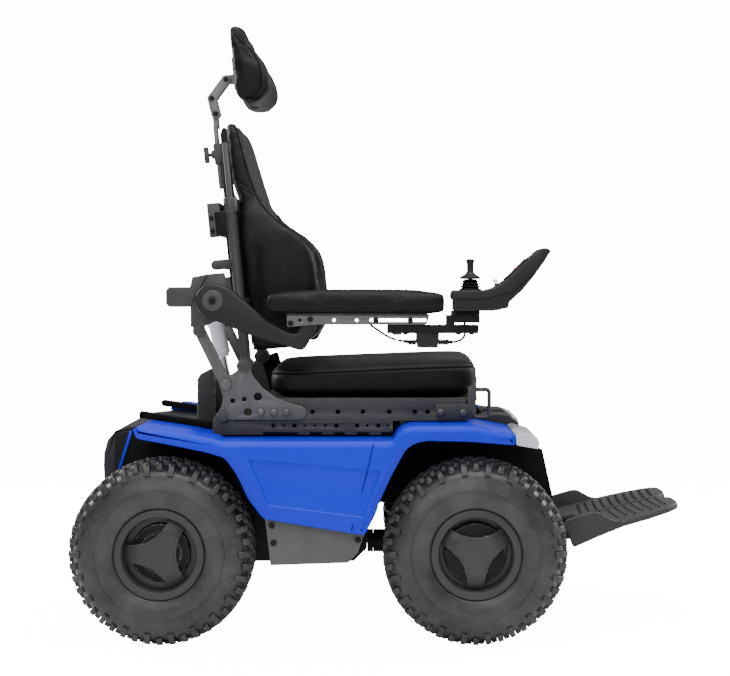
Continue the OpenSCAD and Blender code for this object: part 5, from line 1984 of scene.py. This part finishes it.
@dataclass
class ArmRest:
    """Arm casting with its hub, slotted rail and bolts, on one side of the chair."""

    word: str
    side: int
    inner: float = 251.3
    outer: float = 289.0
    roll: float = 6.5
    hub: float = 34.0
    casting: Outline = (
        (88, -73.2), (176.5, -98.4), (200.3, -53.3), (200.3, -29.5), (171, -29.5), (171, -54.4), (163, -64),
        (140, -58.2), (100.5, -35.7), (58, 1.3), (26, 28.6),
    )
    rail: Outline = ((144.8, -25.7), (421.7, -25.7), (416, -46.1), (200, -46.1), (144.8, -50.9))
    rail_y: Point2 = (289.0, 293.0)
    row: float = -37.5
    holes: tuple[float, ...] = (169.7, 236.0, 280.0)
    hole_radius: float = 3.25
    slot_radius: float = 3.2
    flange: Block = ((273.2, 41.0, 4.0), (281.4, 272.5, -27.4))
    shelf: Block = ((40.0, 36.0, 4.0), (360.0, 272.0, -44.6))
    swing_x: float = 358.0
    cap: Outline = (
        (20.6, 286), (20.6, 291), (19.8, 291.9), (18.6, 292.2), (9.2, 292.2), (8.6, 291.5), (7.4, 291.5),
        (0, 291.5),
    )
    slot: Point2 = (308.0, 412.0)
    bolts: Outline = ((152, -43.5), (190, -35.5), (317, -37.5), (384, -37.5))

    def _casting(self) -> Shape:
        """The cast arm, with a broad roll round its outer face.

        Returns:
            The casting.
        """
        shape = Shape()
        outline = rounded([*arc((0.0, 0.0), self.hub, 90.0, 244.0, 18), *self.casting], 11.0, 4)
        shape.plate([outline], self.inner, self.outer - self.roll)
        shape.roll_over(shape.top(), self.roll, 6)
        return shape

    def _rail(self) -> Shape:
        """The drilled rail plate and the flange that the pad sits on.

        Returns:
            The rail.
        """
        shape = Shape()
        cuts = [hole(x, self.row, self.hole_radius) for x in self.holes]
        cuts.append(slot_outline((self.slot[0], self.row), (self.slot[1], self.row), self.slot_radius))
        shape.plate([rounded(self.rail, 4.0, 3), *cuts], *self.rail_y, 0.6)
        shape.block(self.flange[0], Matrix.Translation(self.flange[1]), 0.8)
        return shape

    def _cap(self) -> Shape:
        """The flat cap of the hub.

        Returns:
            The cap.
        """
        shape = Shape()
        shape.lathe(self.cap, 48, closed=False)
        return shape

    def build(self, shop: Workshop) -> None:
        """Sets the casting, cap, rail and bolts on the arm's body.

        Args:
            shop: the workshop.
        """
        body, node = self.word + "_arm", "arm_" + self.word
        place = mirrored(self.side) @ moved(HUB[0], 0, HUB[1])
        shop.put(self._casting().transform(place), "arm_casting_" + self.word, body, CAST, (node,), 40.0)
        shop.put(self._rail().transform(place), "arm_rail_" + self.word, body, GREY_PLATE, (node,))
        shop.put(self._cap().transform(place), "hub_cap_" + self.word, body, BRACKET, (node,))
        screws = Shape()
        screws.screw(Vector((0, self.outer + 2.0, 0)), 6.6, 4.6, LEFT)
        for x, z in self.bolts:
            screws.screw(Vector((x, self.rail_y[1] - 0.5, z)), 5.5, 4.2, LEFT)
        shop.put(screws.transform(place), "arm_screws_" + self.word, body, OXIDE, (node,))
        if self.side < 0:
            shelf = Shape()
            shelf.block(self.shelf[0], Matrix.Translation(self.shelf[1]), 0.8)
            shelf.screw(Vector((self.swing_x, ARM_Y, -62.0)), 9.0, 4.8, Vector((0, 0, -1)))
            shelf.post(Vector((self.swing_x, ARM_Y, -64.0)), 5.0, 19.0, UP)
            shop.put(shelf.transform(place), "swing_shelf", body, GREY_PLATE, (node,))


@dataclass
class FootPlatform:
    """Moulded foot platform with heel guards and rows of grip marks."""

    hinge: Point2 = (372.0, 196.0)
    slope: float = 14.0
    length: float = 244.0
    half: float = 165.0
    thick: float = 13.0
    roll: float = 6.0
    mark: Point3 = (4.6, 10.0, 1.6)
    mark_start: Point2 = (56.0, 17.0)
    mark_pitch: Point2 = (17.4, 20.5)
    mark_rows: tuple[int, int] = (10, 6)
    mark_shift: float = 7.0
    mark_lean: float = 14.0
    knuckle: Block = ((42.0, 27.4, 17.0), (20.0, 0.0, -4.6))
    knuckle_radius: float = 12.0
    pin_half: float = 20.0
    guard: Outline = (
        (1, 27), (37, 29.6), (62, 30), (74, 27), (84, 17.4), (94, 7.6), (104, 1.2), (124, -3.6), (124, -12.4),
        (64.0, -21.0), (6.0, -31.0),
    )

    def _place(self) -> Matrix:
        """From the platform's own frame to the chair's."""
        return moved(self.hinge[0], 0, self.hinge[1]) @ turned(-self.slope, "Y")

    def _deck(self) -> Shape:
        """The plate, notched for the mast and rounded at its front corners.

        Returns:
            The plate.
        """
        far, half = self.length, self.half
        right: list[Point2] = [
            (22.0, -27.0), (-4.0, -27.0), (-4.0, 14.0 - half), (10.0, 5.0 - half), (40.0, -half),
            (far - 118.0, -half), (far - 72.0, 8.0 - half), (far - 28.0, 26.0 - half),
            (far - 6.0, 46.0 - half), (far, 66.0 - half), (far, -44.0),
            (far - 22.0, 0.0),
        ]
        left = [(x, -y) for x, y in reversed(right[:-1])]
        shape = Shape()
        shape.plate([rounded([*right, *left], 9.0, 4)], 0.0, self.thick - self.roll)
        shape.roll_over(shape.top(), self.roll, 5)
        shape.transform(moved(0, 0, -self.thick) @ turned(90, "X"))
        shape.block((self.length - 70.0, 8.0, 3.0), moved(self.length / 2 + 9.0, 0, 0.5), 1.2)
        for side in (1, -1):
            edges = sorted((side * (self.half - 9.0), side * (self.half + 0.7)))
            shape.plate([rounded(self.guard, 9.0, 4)], edges[0], edges[1], 2.6, 3)
        return shape

    def _grip(self) -> Shape:
        """Staggered rows of short grip marks on both halves.

        Returns:
            The marks.
        """
        shape = Shape()
        for i in range(self.mark_rows[0]):
            x = self.mark_start[0] + i * self.mark_pitch[0]
            for j in range(self.mark_rows[1]):
                y = self.mark_start[1] + j * self.mark_pitch[1] + (self.mark_shift if i % 2 else 0.0)
                if y > self.half - 22.0 - max(0.0, x - self.length + 90.0) * 0.55:
                    continue
                for side in (1, -1):
                    lean = turned(side * self.mark_lean, "Z")
                    shape.block(self.mark, moved(x + 0.25 * j * j, side * y, 0.4) @ lean, 0.5, 1)
        return shape

    def build(self, shop: Workshop) -> None:
        """Sets the deck, its grip marks and the hinge on the platform's body.

        Args:
            shop: the workshop.
        """
        place = self._place()
        shop.put(
            self._deck().transform(place), "platform_deck", "footplate", PLATFORM, ("foot_platform",), 40.0
        )
        shop.put(self._grip().transform(place), "platform_grip", "footplate", GRIP)
        hinge = Shape()
        hinge.block(self.knuckle[0], Matrix.Translation(self.knuckle[1]), 2.0)
        hinge.post(LEFT * (-self.knuckle[0][1] / 2), self.knuckle_radius, self.knuckle[0][1], LEFT)
        shop.put(hinge.transform(place), "platform_knuckle", "footplate", DARK_COAT, ("foot_platform",))
        pin = Shape()
        for side in (1, -1):
            pin.screw(LEFT * (side * (self.pin_half - 0.1)), 9.0, 3.6, LEFT * side)
        pin.post(LEFT * -self.pin_half, 6.0, 2 * self.pin_half, LEFT)
        shop.put(pin.transform(place), "platform_pin", "footplate", OXIDE, ("foot_platform",))


@dataclass(frozen=True)
class Sheet:
    """A flat piece on both sides: where it goes, its outline, corner radius, span in Y and edge."""

    name: str
    body: str
    finish: Finish
    outline: Outline
    corner: float
    span: Point2
    edge: float


@dataclass
class Fasteners:
    """Screws and small plates that the CAD frame leaves out."""

    link_pivots: Outline = ((-30, 531.4), (-35, 564.5), (-1.2, 601.9))
    clamps: tuple[Sheet, ...] = (
        Sheet(
            "clamp_plate_", "back", BRACKET,
            ((-46.4, 268), (-46.8, 304), (-42, 311), (-33, 311), (-33, 263), (-42, 263)),
            3.0, (195.6, 198.4), 0.8,
        ),
        Sheet(
            "clamp_block_", "back", SHELL, ((-33, 262.6), (-33, 311.4), (-10, 311.4), (-10, 262.6)),
            2.0, (195.6, 197.2), 0.5,
        ),
    )
    clamp_screws: tuple[tuple[Point3, float, float], ...] = (
        ((-39.6, 198.0, 300.0), 5.0, 3.4), ((-39.6, 198.0, 274.0), 5.0, 3.4),
        ((-27.0, 196.9, 304.0), 3.4, 2.0), ((-27.0, 196.9, 277.0), 3.4, 2.0),
    )
    side_cover: Sheet = Sheet(
        "back_side_cover_", "back", SHELL,
        (
            (17, 134), (-14, 134), (-18, 170), (-18, 256), (-12, 345), (-9, 470), (-4, 482),
            (4, 482), (8, 345), (17, 330),
        ),
        4.0, (161.0, 165.5), 1.0,
    )
    gusset: Sheet = Sheet(
        "seat_gusset_", "seat", DARK_COAT,
        (
            (-263, 540), (-240, 548), (-226, 500), (-222, 470), (-262, 462), (-306, 462),
            (-300.0, 482.0),
        ),
        6.0, (218.0, 222.5), 0.8,
    )
    tie_bars: tuple[tuple[float, float, float, float], ...] = (
        (-493, -484, 138, 162), (-494, -346, 138, 144.2), (-494, -346, 155.8, 162),
        (-456, -346, 138.4, 161.6),
    )
    tie_top: Point2 = (-493.0, 443.5)
    tie_fall: float = 0.15
    tie_thick: float = 13.0

    def _tie_down(self) -> Shape:
        """A thick sloping strap eye on the rear deck, as bars round its slot.

        Returns:
            The eye of the left side.
        """
        shape = Shape()
        for x0, x1, y0, y1 in self.tie_bars:
            top = [self.tie_top[1] - (x - self.tie_top[0]) * self.tie_fall for x in (x0, x1)]
            outline = [
                (x0, top[0] - self.tie_thick), (x0, top[0]), (x1, top[1]), (x1, top[1] - self.tie_thick)
            ]
            shape.plate([rounded(outline, 4.0, 3)], y0, y1, 1.6, 3)
        return shape

    @staticmethod
    def _lay(shop: Workshop, sheet: Sheet, word: str, place: Matrix) -> None:
        """Sets one sheet on one side.

        Args:
            shop: the workshop.
            sheet: the sheet.
            word: the side's name.
            place: from the sheet's drawing to the chair.
        """
        shape = Shape()
        shape.plate([rounded(sheet.outline, sheet.corner, 3)], *sheet.span, sheet.edge)
        shop.put(shape.transform(place), sheet.name + word, sheet.body, sheet.finish)

    def build(self, shop: Workshop) -> None:
        """Sets the link's screws, the clamps, the back's side covers, the gussets and the strap eyes.

        Args:
            shop: the workshop.
        """
        turn = moved(RECLINE[0], 0, RECLINE[1]) @ Matrix.Rotation(-BACK_LEAN, 4, "Y")
        link = Shape()
        for f, u in self.link_pivots:
            for side in (1, -1):
                link.screw(Vector((f, side * 11.6, u)), 5.4, 3.2, LEFT * side)
        shop.put(link.transform(turn), "headrest_link_screws", "head_link", OXIDE)
        for side, word in SIDES:
            flip = mirrored(side)
            for sheet in self.clamps:
                self._lay(shop, sheet, word, turn @ flip)
            screws = Shape()
            for foot, radius, height in self.clamp_screws:
                screws.screw(Vector(foot), radius, height, LEFT)
            shop.put(screws.transform(turn @ flip), "clamp_screws_" + word, "back", OXIDE)
            self._lay(shop, self.side_cover, word, turn @ flip)
            self._lay(shop, self.gusset, word, flip)
            shop.put(
                self._tie_down().transform(flip), "rear_strap_eye_" + word, "chassis", LINER,
                ("rear_tie_downs",)
            )


@dataclass
class ControlPod:
    """Parting lines and the blank display glass of the control pod."""

    origin: Point2 = (SWING_X, HUB[1])
    line: Outline = (
        (110.5, 3.5), (164.6, 3.5), (182.8, 6.9), (203.4, 13.7), (221.7, 15.7), (233.1, 26.3), (262, 51.5)
    )
    line_width: float = 1.5
    faces_y: Outline = ((-311.35, -310.5), (-229.5, -228.65))
    panel: Point3 = (275.7, -270.0, 745.6)
    panel_turn: float = -43.4
    glass: Outline = ((5, -1.15), (31, -1.15), (31, -0.3), (5, -0.3))
    glass_half: float = 16.0

    def build(self, shop: Workshop) -> None:
        """Sets a thin dark line on both faces of the pod and the glass in its sunk panel.

        Args:
            shop: the workshop.
        """
        body = shop.nodes["joystick_pod"]["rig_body"]
        seam = Shape()
        upper = [(x + self.origin[0], z + self.origin[1]) for x, z in self.line]
        band = upper + [(x + 0.4, z - self.line_width) for x, z in reversed(upper)]
        for y0, y1 in self.faces_y:
            seam.plate([band], y0, y1)
        shop.put(seam, "pod_parting_lines", body, LINER)
        glass = Shape()
        glass.plate([self.glass], -self.glass_half, self.glass_half, 0.3)
        place = Matrix.Translation(self.panel) @ turned(self.panel_turn, "Y")
        shop.put(glass.transform(place), "display_glass", body, SCREEN)


@dataclass
class Studio:
    """Floor, light and camera."""

    eye: Point3 = (0.0026, -3.125, 0.698)
    lens: float = 72.1
    shift: Point2 = (-0.026, -0.0712)
    room_light: float = 0.45
    sensor: float = 36.0
    clip: float = 60.0
    floor_half: float = 14000.0
    floor_drop: float = 0.0005
    lamps: tuple[tuple[str, Point3, Point3, Point2, float], ...] = (
        ("key_above", (0.2, -0.9, 3.2), (0, 0, 0.5), (3.4, 2.4), 210),
        ("fill_camera_side", (-0.6, -3.8, 1.9), (0, 0, 0.5), (2.6, 1.8), 80),
        ("edge_rear", (-2.6, 1.2, 1.8), (-0.3, 0, 0.4), (0.6, 1.8), 90),
        ("edge_front", (2.6, 1, 1.7), (0.3, 0, 0.4), (0.6, 1.8), 90),
    )

    def camera(self) -> None:
        """Sets the camera square to the chair's right side."""
        lens = bpy.data.cameras.new("side_camera")
        lens.lens, lens.sensor_width = self.lens, self.sensor
        lens.shift_x, lens.shift_y = self.shift
        lens.clip_end = self.clip
        eye = placed("side_camera", lens)
        eye.location, eye.rotation_euler = self.eye, (math.radians(90), 0, 0)
        bpy.context.scene.camera = eye

    def floor(self, shop: Workshop) -> None:
        """Lays a plain pale floor.

        Args:
            shop: the workshop; not used.
        """
        shape = Shape()
        bmesh.ops.create_grid(shape.bm, x_segments=8, y_segments=8, size=self.floor_half)
        piece = placed("studio_floor", shape.mesh("studio_floor", 30.0))
        piece.location = (0, 0, -self.floor_drop)
        piece.data.materials.append(self._pale())

    @staticmethod
    def _pale() -> Material:
        """A matt white floor that shows as white as the backdrop, with the chair's soft shade on it.

        Returns:
            The material.
        """
        made = bpy.data.materials.new("pale_floor")
        made.use_nodes = True
        made.node_tree.nodes.clear()
        wire = Wiring(made.node_tree)
        place = wire.add("TexCoord").outputs["Object"]
        mottle = wire.add("TexNoise", {"Vector": place, "Scale": 3.0, "Detail": 3.0}).outputs[0]
        tone = wire.mix(mottle, (0.9, 0.9, 0.9, 1), (0.86, 0.86, 0.865, 1))
        matt = wire.add("BsdfDiffuse", {"Color": tone})
        glow = wire.add("Emission", {"Color": WHITE, "Strength": BACKDROP})
        seen = wire.add("LightPath").outputs["Is Camera Ray"]
        extra = wire.add("MixShader", {0: seen, 2: glow.outputs[0]})
        both = wire.add("AddShader", {0: matt.outputs[0], 1: extra.outputs[0]})
        wire.add("OutputMaterial", {"Surface": both.outputs[0]})
        return made

    @staticmethod
    def _lamp(name: str, place: Point3, aim: Point3, size: Point2, power: float) -> None:
        """Hangs one soft panel light.

        Args:
            name: the light's name.
            place: where it hangs.
            aim: the point that it faces.
            size: its width and height.
            power: its power, in watts.
        """
        light = bpy.data.lights.new(name, "AREA")
        light.shape, light.size, light.size_y, light.energy = "RECTANGLE", size[0], size[1], power
        lamp = placed(name, light)
        lamp.location = place
        lamp.rotation_euler = (Vector(aim) - Vector(place)).to_track_quat("-Z", "Y").to_euler()

    def light(self) -> None:
        """Lights the chair softly from above and from the camera's side."""
        world = bpy.data.worlds.new("studio_world")
        world.use_nodes = True
        world.node_tree.nodes.clear()
        wire = Wiring(world.node_tree)
        room = wire.add("Background", {"Color": WHITE, "Strength": self.room_light})
        backdrop = wire.add("Background", {"Color": WHITE, "Strength": BACKDROP})
        seen = wire.add("LightPath").outputs["Is Camera Ray"]
        shown = wire.add("MixShader", {0: seen, 1: room.outputs[0], 2: backdrop.outputs[0]})
        wire.add("OutputWorld", {"Surface": shown.outputs[0]})
        bpy.context.scene.world = world
        for lamp in self.lamps:
            self._lamp(*lamp)


def main() -> None:
    """Builds the chair's looks in order and reports each piece."""
    logging.basicConfig(level=logging.INFO, format="%(name)s: %(message)s")
    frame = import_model()
    shop = Workshop(frame)
    studio = Studio()
    studio.camera()
    Cables().build(shop)
    Boot().build(shop)
    for wheel in (
        Wheel("rear_right", REAR_X, -1, 180.0, 57.5),
        Wheel("rear_left", REAR_X, 1, 180.0, 57.5),
        Wheel("front_right", FRONT_X, -1, 90.0, 59.5),
        Wheel("front_left", FRONT_X, 1, 90.0, 59.5),
    ):
        wheel.build(shop)
    Bodywork().build(shop)
    Metalwork().build(shop)
    for side, word in SIDES:
        ArmRest(word, side).build(shop)
    FootPlatform().build(shop)
    ControlPod().build(shop)
    Fasteners().build(shop)
    Upholstery().build(shop)
    studio.floor(shop)
    studio.light()
    LOG.info("%d pieces made", shop.count)


if __name__ == "__main__":
    main()
